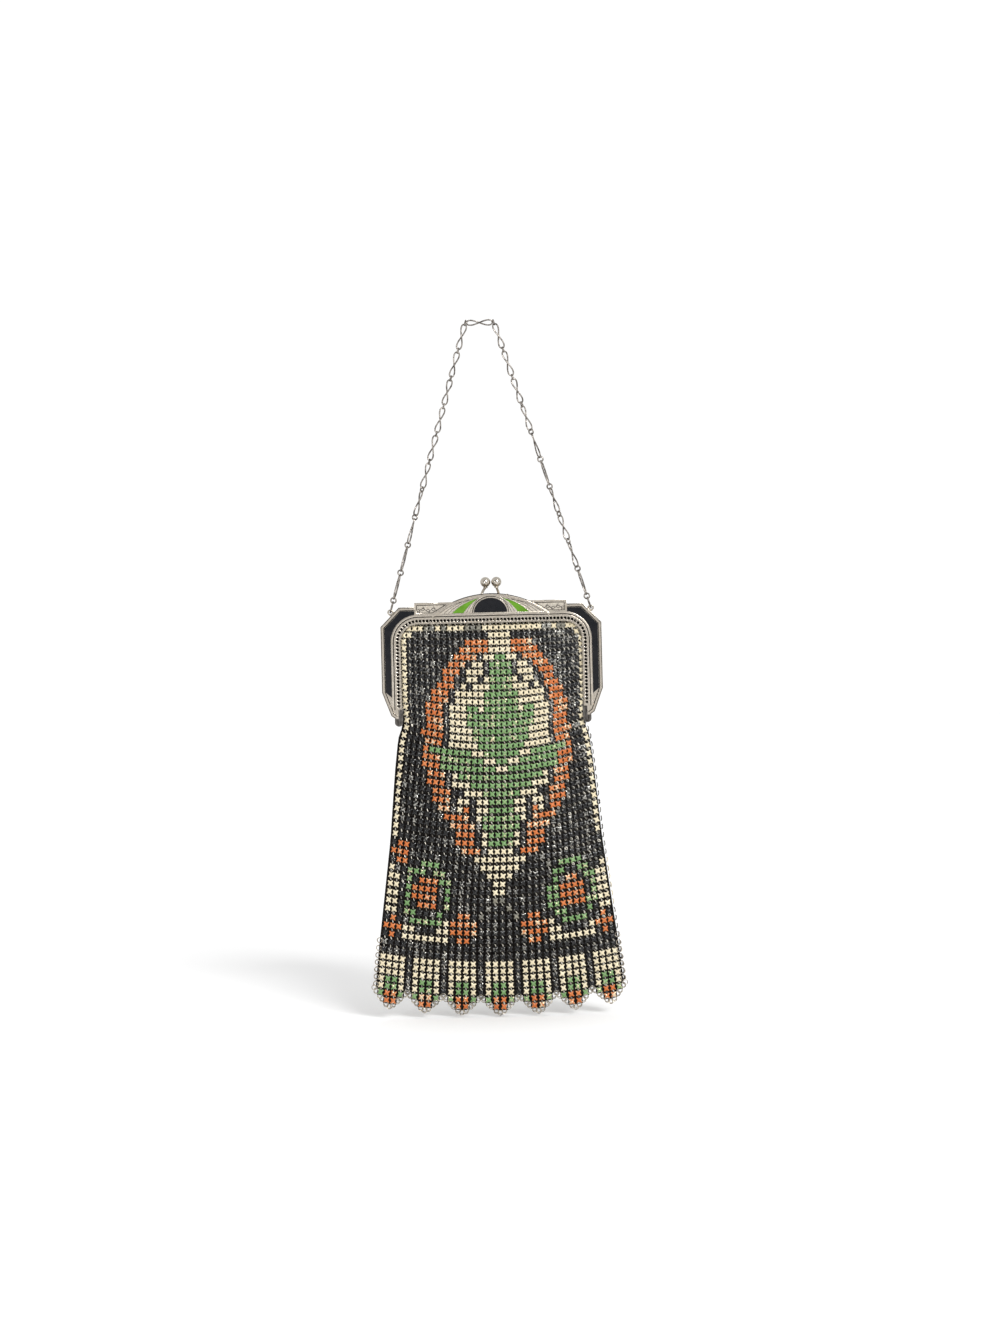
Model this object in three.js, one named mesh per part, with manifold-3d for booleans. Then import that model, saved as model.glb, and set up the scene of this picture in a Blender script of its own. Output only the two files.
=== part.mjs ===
// A flat metal mesh purse hanging from its chain: an enamelled frame in two hinged halves,
// a kiss-lock, a chain of figure-eight links and a hollow bag of linked metal plates.
// Millimetres, +Z up, the front of the purse towards -Y.
// The origin is the middle of the chain's top link, where the purse hangs.
import * as THREE from 'three';
import { mergeVertices } from 'three/addons/utils/BufferGeometryUtils.js';
import Module from 'manifold-3d';

const wasm = await Module();
wasm.setup();

// Clearances
const gap = 0.3;
const inlayGap = 0.15;
const overlap = 0.4;

// Frame: the outer outline, with heights counted from the shoulders
const frameHalfWidth = 50.3;
const frameDepth = 5.3;
const partingGap = 0.3;
const sheetWall = 0.9;
const relief = 0.35;
const topChamferWidth = 8.5;
const topChamferHeight = 8.7;
const stepHalfWidth = 34.7;
const stepRise = 1.9;
const archHalfChord = 27;
const archRise = 9.4;
const archBaseDrop = 4.2;
const archBorder = 1;
const archSegments = 8;
const tipDepth = 50.7;
const tipWidth = 6;
const footRise = 1.4;
const footWidth = 4;
const sideRise = 12.1;
const legWidth = 1.3;

// Frame: the pierced rim around the window that the bag fills
const borderWidth = 1.7;
const enamelWidth = 2.9;
const windowDrop = 7.8;
const windowRadius = 8;
const rimWidth = 4.3;
const rimLineWidth = 0.9;
const rimEndRise = 4.1;
const rimHoleRadius = 0.6;
const rimHoleInset = 1.35;
const rimHolePitch = 7.72;
const rimHoleSides = 4;
const drillLength = 4;
const cornerSegments = 4;

// Enamel inlays
const enamelThickness = relief;
const enamelSlant = 2.4;
const domeHalfWidth = 7.6;
const domeHeight = 6.7;
const domeSegments = 10;
const stripeInner = 12.4;
const stripeWidth = 5.1;
const stripePoint = 5.2;
const stripeBow = 0.62;
const stripeOuterBow = 0.7;
const stripeInnerBow = 0.6;
const stripeSegments = 4;

// Kiss-lock
const ballDiameter = 4.7;
const ballHeight = 10.8;
const ballShift = 0.4;
const ballSides = 10;
const ballRows = 7;
const stalkRadius = 0.6;
const stalkSpread = 3.9;
const stalkBend = 0.55;
const stalkSink = 0.25;
const stalkSides = 6;
const stalkSteps = 6;
const nubX = 7.8;
const nubRadius = 0.7;
const nubSides = 6;
const nubRows = 4;

// Hinges at the feet of the frame
const pinRadius = 0.8;
const pinHeadRadius = 1.5;
const pinHeadLength = 0.5;
const pinDrop = 1.6;
const earRadius = 1.8;
const earThickness = 0.65;
const earInset = 1;
const roundSides = 8;

// Chain
const wire = 0.7;
const wireSides = 5;
const linkLength = 12.45;
const linkWidth = 3;
const linkSegments = 10;
const jumpRingRadius = 1.2;
const endRingRadius = 2.6;
const ringSegments = 10;
const bite = 0.26;
const strandGap = 0.1;
const hangShift = 1.9;
const lugReach = 1.5;
const lugShare = 0.35;
const lugPlay = 0.35;
const lugRadius = 1.4;
const lugThickness = 0.9;
const lugSegments = 6;

// How far each link is turned about the chain, in degrees, from the frame up to the top
const legTurns = {
  left: [90, 90, 80, 50, 20, 0, 10, 0, -10, 0],
  right: [90, 50, 20, 50, 90, 70, 30, 0, 10, 0],
};

// Mesh bag
const bagWall = 1.2;
const bodyLength = 154.3;
const seamHalfWidth = 54.4;
const bellyDepth = 8.4;
const seatSlack = 0.2;
const sagDepth = 7;
const hemOverlap = 0.9;
const webThickness = 1.2;
const webShare = 0.995;
const webBite = 0.9;
const crossPower = 2.4;
const foldDepth = 1.7;
const foldPlace = 0.79;
const foldWidth = 0.09;
const tabCount = 7;
const tabLength = 25;
const tabFlare = 2.7;
const notchShare = 0.75;
const tabTipShare = 0.44;
const tabShoulder = 0.3;
const tabThinning = 0.5;
const tabSpread = 1.45;
const sideTurn = 41;

// Sections of the bag from its top edge to the seam above the tabs.
// down: 0 at the top edge, 1 at the hinges and 2 at the seam, on the centre line.
// flare: share of the growth in half width from the rim to the seam. pinch: 1 between the hinges.
// edge: how far the wall stands out at its sides, as a share of its seat behind the rim.
// belly: share of bellyDepth. sag: share of sagDepth. fold: share of foldDepth.
const bagSections = [
  { down: 0.00, flare: 0.00, pinch: 0, edge: 1.00, belly: 0.00, sag: 0.00, fold: 0.00 },
  { down: 0.45, flare: 0.00, pinch: 0, edge: 1.00, belly: 0.24, sag: 0.48, fold: 0.80 },
  { down: 0.82, flare: 0.00, pinch: 0, edge: 0.95, belly: 0.42, sag: 0.86, fold: 1.00 },
  { down: 0.95, flare: 0.00, pinch: 1, edge: 0.77, belly: 0.55, sag: 1.00, fold: 1.00 },
  { down: 1.02, flare: 0.00, pinch: 1, edge: 0.40, belly: 0.68, sag: 1.00, fold: 1.00 },
  { down: 1.07, flare: 0.07, pinch: 0, edge: 0.12, belly: 0.79, sag: 0.99, fold: 1.00 },
  { down: 1.21, flare: 0.22, pinch: 0, edge: 0.10, belly: 0.94, sag: 0.95, fold: 1.00 },
  { down: 1.52, flare: 0.47, pinch: 0, edge: 0.10, belly: 0.98, sag: 0.86, fold: 0.60 },
  { down: 1.91, flare: 0.90, pinch: 0, edge: 0.11, belly: 0.49, sag: 0.78, fold: 0.00 },
  { down: 2.00, flare: 1.00, pinch: 0, edge: 0.20, belly: 0.26, sag: 0.76, fold: 0.00 },
];

// Worked-out sizes of the frame
const windowHalfWidth = frameHalfWidth - borderWidth - enamelWidth - rimWidth;
const footDepth = tipDepth - footRise;
const sideEnd = tipDepth - sideRise;
const rimEnd = tipDepth - rimEndRise;
const pinDepth = tipDepth + pinDrop;
const earInnerX = windowHalfWidth + earInset;

// How far the frame hangs below the chain's top link
const ringFlat = Math.cos(Math.PI / ringSegments);
const linkReach = (linkLength - wire) / 2 + jumpRingRadius * ringFlat - wire + bite;
const linkPitch = 2 * linkReach;
const endReach = (2 * endRingRadius + jumpRingRadius) * ringFlat - wire + bite;
const legLength = endReach + legTurns.left.length * linkPitch;
const chamferNormal = new THREE.Vector2(topChamferHeight, topChamferWidth).normalize();
const lugHoleRadius = wire / 2 + lugPlay;
const lugX = frameHalfWidth - topChamferWidth * (1 - lugShare) + lugReach * chamferNormal.x;
const lugHeight = -topChamferHeight * lugShare + lugReach * chamferNormal.y;
const lugY = partingGap / 2 + lugThickness / 2;
const lugZ = -Math.sqrt(legLength ** 2 - (lugX - linkReach) ** 2 - lugY ** 2);
const shoulderZ = lugZ - lugHeight;
const archApex = archRise - archBaseDrop;
const archRadius = (archHalfChord ** 2 + archRise ** 2) / (2 * archRise);
const archCentre = archApex - archRadius;

// Where the bag sits in the frame
const bagTop = hemOverlap - windowDrop;
const rimSeatDepth = frameDepth - sheetWall - gap - seatSlack;
const rimHalfWidth = windowHalfWidth + hemOverlap;
const hingeDown = pinDepth + bagTop + sagDepth;
const hingePinch = rimHalfWidth - (earInnerX - 2 * gap - pinHeadLength);

const silver = { color: 0xb9ad9b, roughness: 0.35, metalness: 1 };
const darkSilver = { color: 0x77716a, roughness: 0.4, metalness: 1 };
const blackEnamel = { color: 0x0c0d10, roughness: 0.12, metalness: 0 };
const greenEnamel = { color: 0x5f912d, roughness: 0.15, metalness: 0 };
const meshPlates = { color: 0x8c8268, roughness: 0.4, metalness: 0.3 };

// The purse below the chain is drawn from the frame's shoulders, then hung a little to the right
const group = new THREE.Group();
const purse = new THREE.Group();
purse.position.set(hangShift, 0, shoulderZ);
group.add(purse);

function addPiece(parent, name, geometry, finish) {
  const mesh = new THREE.Mesh(geometry, new THREE.MeshStandardMaterial(finish));
  mesh.name = name;
  parent.add(mesh);
}

// Solids: closed meshes joined and cut
function toSolid(geometry) {
  const bare = geometry.clone();
  bare.deleteAttribute('normal');
  bare.deleteAttribute('uv');
  const merged = mergeVertices(bare, 1e-4);
  const mesh = new wasm.Mesh({
    numProp: 3,
    vertProperties: new Float32Array(merged.attributes.position.array),
    triVerts: new Uint32Array(merged.index.array),
  });
  return new wasm.Manifold(mesh);
}

function toGeometry(solid) {
  const mesh = solid.getMesh();
  const geometry = new THREE.BufferGeometry();
  geometry.setAttribute('position', new THREE.BufferAttribute(mesh.vertProperties, 3));
  geometry.setIndex(new THREE.BufferAttribute(mesh.triVerts, 1));
  return geometry;
}

function join(geometries) {
  return geometries.map(toSolid).reduce((sum, solid) => sum.add(solid));
}

// An outline in the frame's plane as a plate between two depths; y counts backwards.
// The outline runs clockwise, and a hole in it the other way.
function plate(outline, front, back, hole) {
  const shape = new THREE.Shape(outline);
  if (hole) {
    shape.holes.push(new THREE.Path(hole));
  }
  const geometry = new THREE.ExtrudeGeometry(shape, { depth: back - front, bevelEnabled: false });
  return geometry.rotateX(Math.PI / 2).translate(0, back, 0);
}

function point(x, height) {
  return new THREE.Vector2(x, height);
}

function mirrored(points) {
  return points.map((p) => point(-p.x, p.y)).reverse();
}

// The line moved inwards, which is to its right, with mitred corners
function inset(points, distance) {
  const normals = points.slice(1).map((p, i) => {
    const along = p.clone().sub(points[i]).normalize();
    return point(along.y, -along.x);
  });
  return points.map((p, i) => {
    const before = normals[Math.max(i - 1, 0)];
    const after = normals[Math.min(i, normals.length - 1)];
    const middle = before.clone().add(after).normalize();
    return p.clone().addScaledVector(middle, distance / middle.dot(after));
  });
}

// From the foot of the step down to the right tip
function sideLine() {
  return [
    point(stepHalfWidth, 0),
    point(frameHalfWidth - topChamferWidth, 0),
    point(frameHalfWidth, -topChamferHeight),
    point(frameHalfWidth, -sideEnd),
    point(frameHalfWidth - footWidth, -footDepth),
    point(frameHalfWidth - tipWidth, -tipDepth),
  ];
}

function archLine(radius, halfAngle, segments) {
  return Array.from({ length: segments + 1 }, (_, i) => {
    const angle = halfAngle * (2 * i / segments - 1);
    return point(radius * Math.sin(angle), archCentre + radius * Math.cos(angle));
  });
}

// The whole outer outline from the left tip over the arch to the right tip
function outerLine() {
  const shown = Math.acos((stepRise - archCentre) / archRadius);
  const right = [point(stepHalfWidth, stepRise), ...sideLine()];
  return [...mirrored(right), ...archLine(archRadius, shown, archSegments), ...right];
}

function arcPoints(x, height, radius, from, to, segments) {
  return Array.from({ length: segments + 1 }, (_, i) => {
    const angle = from + (to - from) * i / segments;
    return point(x + radius * Math.cos(angle), height + radius * Math.sin(angle));
  });
}

// The window's outline, grown by a margin, from its left foot to its right foot
function windowLine(margin) {
  const halfWidth = windowHalfWidth + margin;
  const radius = windowRadius + margin;
  const cornerHeight = margin - windowDrop - radius;
  const corner = arcPoints(halfWidth - radius, cornerHeight, radius, Math.PI / 2, 0, cornerSegments);
  const right = [...corner, point(halfWidth, -rimEnd)];
  return [...mirrored(right), ...right];
}

function band(outer, inner) {
  return [...outer, ...[...inner].reverse()];
}

// The stamped sheet of one half: face, skirt and the raised lines on the face
function frameSheet() {
  const face = -frameDepth;
  const raised = face - relief;
  const sunk = face + sheetWall / 2;
  const legX = frameHalfWidth - tipWidth - legWidth;
  const inner = [
    point(-legX, -tipDepth),
    point(-legX, -rimEnd),
    ...windowLine(0),
    point(legX, -rimEnd),
    point(legX, -tipDepth),
  ];
  const rimLine = band(windowLine(rimWidth), windowLine(rimWidth - rimLineWidth));
  const border = band(sideLine(), inset(sideLine(), borderWidth));
  const archHalfAngle = Math.asin(archHalfChord / archRadius);
  const archBand = band(
    archLine(archRadius, archHalfAngle, archSegments),
    inset(archLine(archRadius, archHalfAngle, archSegments), archBorder),
  );
  const archBase = [
    point(-archHalfChord, -archBaseDrop),
    point(-archHalfChord + archBorder, -archBaseDrop + archBorder),
    point(archHalfChord - archBorder, -archBaseDrop + archBorder),
    point(archHalfChord, -archBaseDrop),
  ];
  return [
    plate(band(outerLine(), inner), face, face + sheetWall),
    plate(band(outerLine(), inset(outerLine(), sheetWall)), face, -partingGap / 2),
    plate(rimLine, raised, sunk),
    plate(border, raised, sunk),
    plate(mirrored(border), raised, sunk),
    plate(archBand, raised, sunk),
    plate(archBase, raised, sunk),
    ...stepPanels(raised, sunk),
  ];
}

// The raised blocks either side of the arch, each with a sunk panel
function stepPanels(raised, sunk) {
  const archAtTop = Math.sqrt(archRadius ** 2 - (stepRise - archCentre) ** 2);
  const low = rimWidth - windowDrop - overlap;
  const archAtLow = Math.sqrt(archRadius ** 2 - (low - archCentre) ** 2);
  const outer = [
    point(archAtTop - overlap, stepRise),
    point(stepHalfWidth, stepRise),
    point(stepHalfWidth, low),
    point(archAtLow - overlap, low),
  ];
  const inner = inset([...outer, outer[0], outer[1]], archBorder).slice(1, 5);
  return [
    plate(outer, raised, sunk, [...inner].reverse()),
    plate(mirrored(outer), raised, sunk, mirrored(inner).reverse()),
  ];
}

// Prisms that pierce the rim all along the window
function rimHoles() {
  const path = new THREE.Path(windowLine(rimHoleInset));
  const count = Math.round(path.getLength() / rimHolePitch);
  const places = path.getSpacedPoints(count).slice(1, -1);
  return places.map((place) => {
    const prism = new THREE.CylinderGeometry(rimHoleRadius, rimHoleRadius, drillLength, rimHoleSides);
    return prism.translate(place.x, -frameDepth, place.y);
  });
}

// A round ear around the hinge pin, carried by an arm from the foot of the face
function hingeEar(x) {
  const disc = new THREE.CylinderGeometry(earRadius, earRadius, earThickness, roundSides);
  disc.rotateZ(Math.PI / 2).translate(x, 0, -pinDepth);
  const armTop = -rimEnd;
  const armBottom = -pinDepth - earRadius / 2;
  const armFront = -frameDepth;
  const arm = new THREE.BoxGeometry(earThickness, -armFront, armTop - armBottom);
  arm.translate(x, armFront / 2, (armTop + armBottom) / 2);
  return [disc, arm];
}

function hingePinHole() {
  const radius = pinRadius + gap;
  const hole = new THREE.CylinderGeometry(radius, radius, 2 * frameHalfWidth, roundSides);
  return hole.rotateZ(Math.PI / 2).translate(0, 0, -pinDepth);
}

// An eye for the chain's end ring, soldered on the chamfer beside the parting
function chainLug() {
  const shape = new THREE.Shape();
  const foot = -lugReach - sheetWall / 2;
  shape.moveTo(foot, -lugRadius);
  shape.lineTo(0, -lugRadius);
  shape.absarc(0, 0, lugRadius, -Math.PI / 2, Math.PI / 2, false);
  shape.lineTo(foot, lugRadius);
  const hole = new THREE.Path();
  hole.absarc(0, 0, lugHoleRadius, 0, 2 * Math.PI, false);
  shape.holes.push(hole);
  const lug = new THREE.ExtrudeGeometry(shape, {
    depth: lugThickness,
    bevelEnabled: false,
    curveSegments: lugSegments,
  });
  lug.rotateZ(chamferNormal.angle()).rotateX(Math.PI / 2);
  return lug.translate(lugX, lugY + lugThickness / 2, lugHeight);
}

// One half of the frame, built as the front one
function frameHalf(earX, extras) {
  const solids = [...frameSheet(), ...hingeEar(earX), ...hingeEar(-earX), ...extras];
  const cutters = [...rimHoles(), hingePinHole()];
  return join(solids).subtract(join(cutters));
}

function buildFrame() {
  const earStep = earThickness + gap;
  const nub = new THREE.SphereGeometry(nubRadius, nubSides, nubRows);
  nub.translate(nubX, -frameDepth / 2, archTopAt(nubX));
  const front = toGeometry(frameHalf(earInnerX + earThickness / 2, [nub]));
  const back = toGeometry(frameHalf(earInnerX + earThickness / 2 + earStep, []));
  back.rotateZ(Math.PI);
  const rightLug = chainLug();
  const leftLug = rightLug.clone().rotateZ(Math.PI).translate(0, 2 * lugY, 0);
  addPiece(purse, 'frame_front', front, silver);
  addPiece(purse, 'frame_back', toGeometry(join([back, rightLug, leftLug])), silver);
}

function archTopAt(x) {
  return archCentre + Math.sqrt(archRadius ** 2 - x ** 2);
}

// Rivets that hinge the two halves, along X
function buildHingePins() {
  const innerX = earInnerX - gap;
  const outerX = earInnerX + 2 * earThickness + 2 * gap;
  const profile = [
    point(0, innerX - pinHeadLength),
    point(pinHeadRadius, innerX - pinHeadLength),
    point(pinHeadRadius, innerX),
    point(pinRadius, innerX),
    point(pinRadius, outerX),
    point(pinHeadRadius, outerX),
    point(pinHeadRadius, outerX + pinHeadLength),
    point(0, outerX + pinHeadLength),
  ];
  for (const [side, turn] of [['right', -1], ['left', 1]]) {
    const pin = new THREE.LatheGeometry(profile, roundSides);
    pin.rotateZ(turn * Math.PI / 2).translate(0, 0, -pinDepth);
    addPiece(purse, `hinge_pin_${side}`, toGeometry(toSolid(pin)), darkSilver);
  }
}

// Enamel in the sunk fields, seated on the face of its half
function sidePanelOutline() {
  const outer = inset(sideLine(), borderWidth + inlayGap).slice(1, 3);
  const outerX = frameHalfWidth - borderWidth - inlayGap;
  const innerX = windowHalfWidth + rimWidth + inlayGap;
  const radius = windowRadius + rimWidth + inlayGap;
  const centre = point(innerX - radius, rimWidth + inlayGap - windowDrop - radius);
  const startX = stepHalfWidth + inlayGap;
  const endAngle = Math.acos((startX - centre.x) / radius);
  const corner = arcPoints(centre.x, centre.y, radius, 0, endAngle, cornerSegments);
  return [
    point(startX, -borderWidth - inlayGap),
    ...outer,
    point(outerX, -sideEnd),
    point(innerX, -sideEnd - enamelSlant),
    ...corner,
  ];
}

function domeOutline() {
  const base = archBorder - archBaseDrop + inlayGap;
  return arcPoints(0, 0, 1, 0, Math.PI, domeSegments)
    .map((p) => point(p.x * domeHalfWidth, base + p.y * domeHeight));
}

function stripeOutline() {
  const base = archBorder - archBaseDrop + inlayGap;
  const top = base + domeHeight;
  const outerFoot = stripeInner + stripeWidth;
  const shape = new THREE.Shape();
  shape.moveTo(stripeInner, base);
  shape.lineTo(outerFoot, base);
  const outerBow = THREE.MathUtils.lerp(stripePoint, outerFoot, stripeBow);
  const innerBow = THREE.MathUtils.lerp(stripePoint, stripeInner, stripeBow);
  shape.quadraticCurveTo(outerBow, base + domeHeight * stripeOuterBow, stripePoint, top);
  shape.quadraticCurveTo(innerBow, base + domeHeight * stripeInnerBow, stripeInner, base);
  return shape.getPoints(stripeSegments);
}

function buildEnamel() {
  const inlays = [
    ['enamel_panel_right', sidePanelOutline(), blackEnamel],
    ['enamel_panel_left', mirrored(sidePanelOutline()), blackEnamel],
    ['enamel_dome', domeOutline(), blackEnamel],
    ['enamel_stripe_right', stripeOutline(), greenEnamel],
    ['enamel_stripe_left', mirrored(stripeOutline()), greenEnamel],
  ];
  for (const [name, outline, finish] of inlays) {
    const front = plate(outline, -frameDepth - enamelThickness, -frameDepth);
    addPiece(purse, `${name}_front`, toGeometry(toSolid(front)), finish);
    const back = plate(mirrored(outline), frameDepth, frameDepth + enamelThickness);
    addPiece(purse, `${name}_back`, toGeometry(toSolid(back)), finish);
  }
}

// The kiss-lock: a ball on a bent stalk on each half
function claspBall(side) {
  const ballX = ballShift + side * (ballDiameter / 2 + inlayGap);
  const footY = side * frameDepth / 2;
  const footX = side * stalkSpread;
  const footZ = archTopAt(stalkSpread) + gap;
  const ball = new THREE.SphereGeometry(ballDiameter / 2, ballSides, ballRows);
  ball.rotateX(Math.PI / 2).translate(ballX, 0, ballHeight);
  const path = new THREE.CatmullRomCurve3([
    new THREE.Vector3(footX, footY, footZ),
    new THREE.Vector3(footX, footY, footZ + stalkRadius),
    new THREE.Vector3((footX + ballX) / 2, footY / 2, ballHeight - ballDiameter * stalkBend),
    new THREE.Vector3(ballX, 0, ballHeight - ballDiameter * stalkSink),
  ]);
  const round = arcPoints(0, 0, stalkRadius, 0, 2 * Math.PI, stalkSides).slice(0, -1);
  const stalk = new THREE.ExtrudeGeometry(new THREE.Shape(round), { steps: stalkSteps, extrudePath: path });
  return toGeometry(join([ball, stalk]));
}

// A figure-eight of wire about its own X axis, with its strands crossing in the middle
class FigureEight extends THREE.Curve {
  getPoint(t, target = new THREE.Vector3()) {
    const halfStep = Math.PI / linkSegments;
    const angle = 2 * Math.PI * t + halfStep;
    const x = (linkLength - wire) / 2 * Math.cos(angle) / Math.cos(halfStep);
    const y = (linkWidth - wire) / 2 * Math.sin(2 * angle);
    const z = (wire + strandGap) / 2 * Math.sin(angle);
    return target.set(x, y, z);
  }

  getPointAt(u, target) {
    return this.getPoint(u, target);
  }

  getTangentAt(u, target) {
    return this.getTangent(u, target);
  }
}

function chainLink() {
  return new THREE.TubeGeometry(new FigureEight(), linkSegments, wire / 2, wireSides, true);
}

function chainRing(radius) {
  return new THREE.TorusGeometry(radius, wire / 2, wireSides, ringSegments).rotateZ(Math.PI / ringSegments);
}

// Lays a piece drawn along X onto the line through a place, turned about that line
function laid(geometry, place, direction, turn) {
  const sideways = new THREE.Vector3(0, 1, 0).cross(direction).normalize();
  const facing = direction.clone().cross(sideways);
  const basis = new THREE.Matrix4().makeBasis(direction, sideways, facing);
  const roll = new THREE.Matrix4().makeRotationX(THREE.MathUtils.degToRad(turn));
  const matrix = basis.multiply(roll).setPosition(place);
  return geometry.applyMatrix4(matrix);
}

// One leg of the chain, from its end ring in the lug up to the ring at the top link
function chainLeg(side, turns) {
  const lug = new THREE.Vector3(hangShift + side * lugX, lugY, lugZ);
  const top = new THREE.Vector3(side * linkReach, 0, 0);
  const direction = top.clone().sub(lug).normalize();
  const pitch = (top.distanceTo(lug) - endReach) / turns.length;
  const at = (distance) => lug.clone().addScaledVector(direction, distance);
  const ringTurns = turns.map((turn, i) => (turn + turns[Math.max(i - 1, 0)]) / 2 + 90);
  return [
    laid(chainRing(endRingRadius), at(endRingRadius * ringFlat), direction, 90),
    ...turns.map((turn, i) => laid(chainLink(), at(endReach + (i + 0.5) * pitch), direction, turn)),
    ...ringTurns.map((turn, i) => {
      return laid(chainRing(jumpRingRadius), at(endReach + i * pitch), direction, turn);
    }),
    laid(chainRing(jumpRingRadius), top, direction, 90),
  ];
}

function buildChain() {
  const topLink = laid(chainLink(), new THREE.Vector3(), new THREE.Vector3(1, 0, 0), 0);
  const pieces = [topLink, ...chainLeg(1, legTurns.right), ...chainLeg(-1, legTurns.left)];
  addPiece(group, 'chain', toGeometry(join(pieces)), darkSilver);
}

// Where the bag's columns lie, as shares of its half width: each tab has a flat tip,
// and towards the sides the mesh turns away, so its columns look closer
function bagColumns() {
  const columns = [-1];
  for (let tab = 0; tab < tabCount; tab += 1) {
    const centre = (2 * tab + 1) / tabCount - 1;
    const tip = tabTipShare / tabCount;
    columns.push(centre - tip, centre + tip, (2 * tab + 2) / tabCount - 1);
  }
  const turn = THREE.MathUtils.degToRad(sideTurn);
  return columns.map((share) => Math.sin(share * turn) / Math.sin(turn));
}

function foldAt(share) {
  return Math.exp(-(((share - foldPlace) / foldWidth) ** 2));
}

// The rows of the wall: the sections down to the seam, then the tabs
function bagRows() {
  const flareWidth = seamHalfWidth - rimHalfWidth;
  const rows = bagSections.map((section) => ({
    down: hingeDown * Math.min(section.down, 1) + (bodyLength - hingeDown) * Math.max(section.down - 1, 0),
    half: rimHalfWidth + section.flare * flareWidth - section.pinch * hingePinch,
    edge: section.edge * rimSeatDepth,
    belly: section.belly * bellyDepth,
    sag: section.sag * sagDepth,
    fold: section.fold * foldDepth,
    tabLength: 0,
  }));
  const seam = rows[rows.length - 1];
  const tabRow = (share) => ({
    ...seam,
    half: seam.half + tabFlare * share,
    edge: tabSpread,
    belly: seam.belly * (1 - tabThinning * share),
    tabLength: tabLength * share,
  });
  return [...rows, tabRow(tabShoulder), tabRow(1)];
}

// A place on the wall's outer face, for the front as it hangs
function wallPoint(row, share, isNotch) {
  const x = row.half * share;
  const swell = row.belly * (1 - Math.abs(share) ** crossPower);
  const y = -(row.edge + swell) + row.fold * foldAt(share);
  const hang = isNotch ? row.tabLength * notchShare : row.tabLength;
  const z = bagTop - row.down - hang + row.sag * share ** 2;
  return [x, y, z];
}

// One wall of the bag as a closed sheet of even thickness
function bagWallSheet() {
  const rows = bagRows();
  const columns = bagColumns();
  const across = columns.length;
  const positions = [];
  for (const depth of [0, bagWall]) {
    for (const row of rows) {
      columns.forEach((share, i) => {
        const [x, y, z] = wallPoint(row, share, i % 3 === 0);
        positions.push(x, y + depth, z);
      });
    }
  }
  const layer = rows.length * across;
  const index = [];
  const quad = (a, b, c, d) => index.push(a, b, c, a, c, d);
  for (let r = 0; r < rows.length - 1; r += 1) {
    for (let c = 0; c < across - 1; c += 1) {
      const corner = r * across + c;
      quad(corner, corner + across, corner + across + 1, corner + 1);
      quad(corner + layer, corner + layer + 1, corner + layer + across + 1, corner + layer + across);
    }
  }
  for (let c = 0; c < across - 1; c += 1) {
    const low = (rows.length - 1) * across + c;
    quad(c, c + 1, c + 1 + layer, c + layer);
    quad(low, low + layer, low + layer + 1, low + 1);
  }
  for (let r = 0; r < rows.length - 1; r += 1) {
    const left = r * across;
    const right = left + across - 1;
    quad(left, left + layer, left + layer + across, left + across);
    quad(right, right + across, right + across + layer, right + layer);
  }
  const geometry = new THREE.BufferGeometry();
  geometry.setAttribute('position', new THREE.Float32BufferAttribute(positions, 3));
  geometry.setIndex(index);
  return geometry;
}

// The seam that closes the bag above its tabs, a web from wall to wall
function seamWeb() {
  const seam = bagRows()[bagSections.length - 1];
  const columns = bagColumns();
  const positions = [];
  const index = [];
  columns.forEach((share) => {
    const [x, y, z] = wallPoint(seam, share * webShare, false);
    const reach = -y - bagWall + webBite;
    positions.push(x, -reach, z, x, reach, z, x, reach, z + webThickness, x, -reach, z + webThickness);
  });
  for (let c = 0; c < columns.length - 1; c += 1) {
    for (let k = 0; k < 4; k += 1) {
      const a = 4 * c + k;
      const b = 4 * c + (k + 1) % 4;
      index.push(a, b + 4, a + 4, a, b, b + 4);
    }
  }
  const last = 4 * (columns.length - 1);
  index.push(0, 2, 1, 0, 3, 2, last, last + 1, last + 2, last, last + 2, last + 3);
  const geometry = new THREE.BufferGeometry();
  geometry.setAttribute('position', new THREE.Float32BufferAttribute(positions, 3));
  geometry.setIndex(index);
  return geometry;
}

function buildBag() {
  const front = bagWallSheet();
  const back = bagWallSheet().rotateZ(Math.PI);
  addPiece(purse, 'mesh_bag', toGeometry(join([front, back, seamWeb()])), meshPlates);
}

buildFrame();
buildHingePins();
buildEnamel();
addPiece(purse, 'clasp_ball_front', claspBall(-1), silver);
addPiece(purse, 'clasp_ball_back', claspBall(1), silver);
buildChain();
buildBag();

export default group;
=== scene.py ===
# %% [markdown]
# # A metal mesh purse on its chain
# The real purse is three trades in one: a stamped and enamelled frame, a wire chain, and a bag
# of thousands of small enamelled plates that rings hold together. Each gets its own cells here.
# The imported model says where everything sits, so this script only adds the fine surface to it.

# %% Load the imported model
import math

import bpy
import numpy as np
from mathutils import Matrix, Vector


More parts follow.
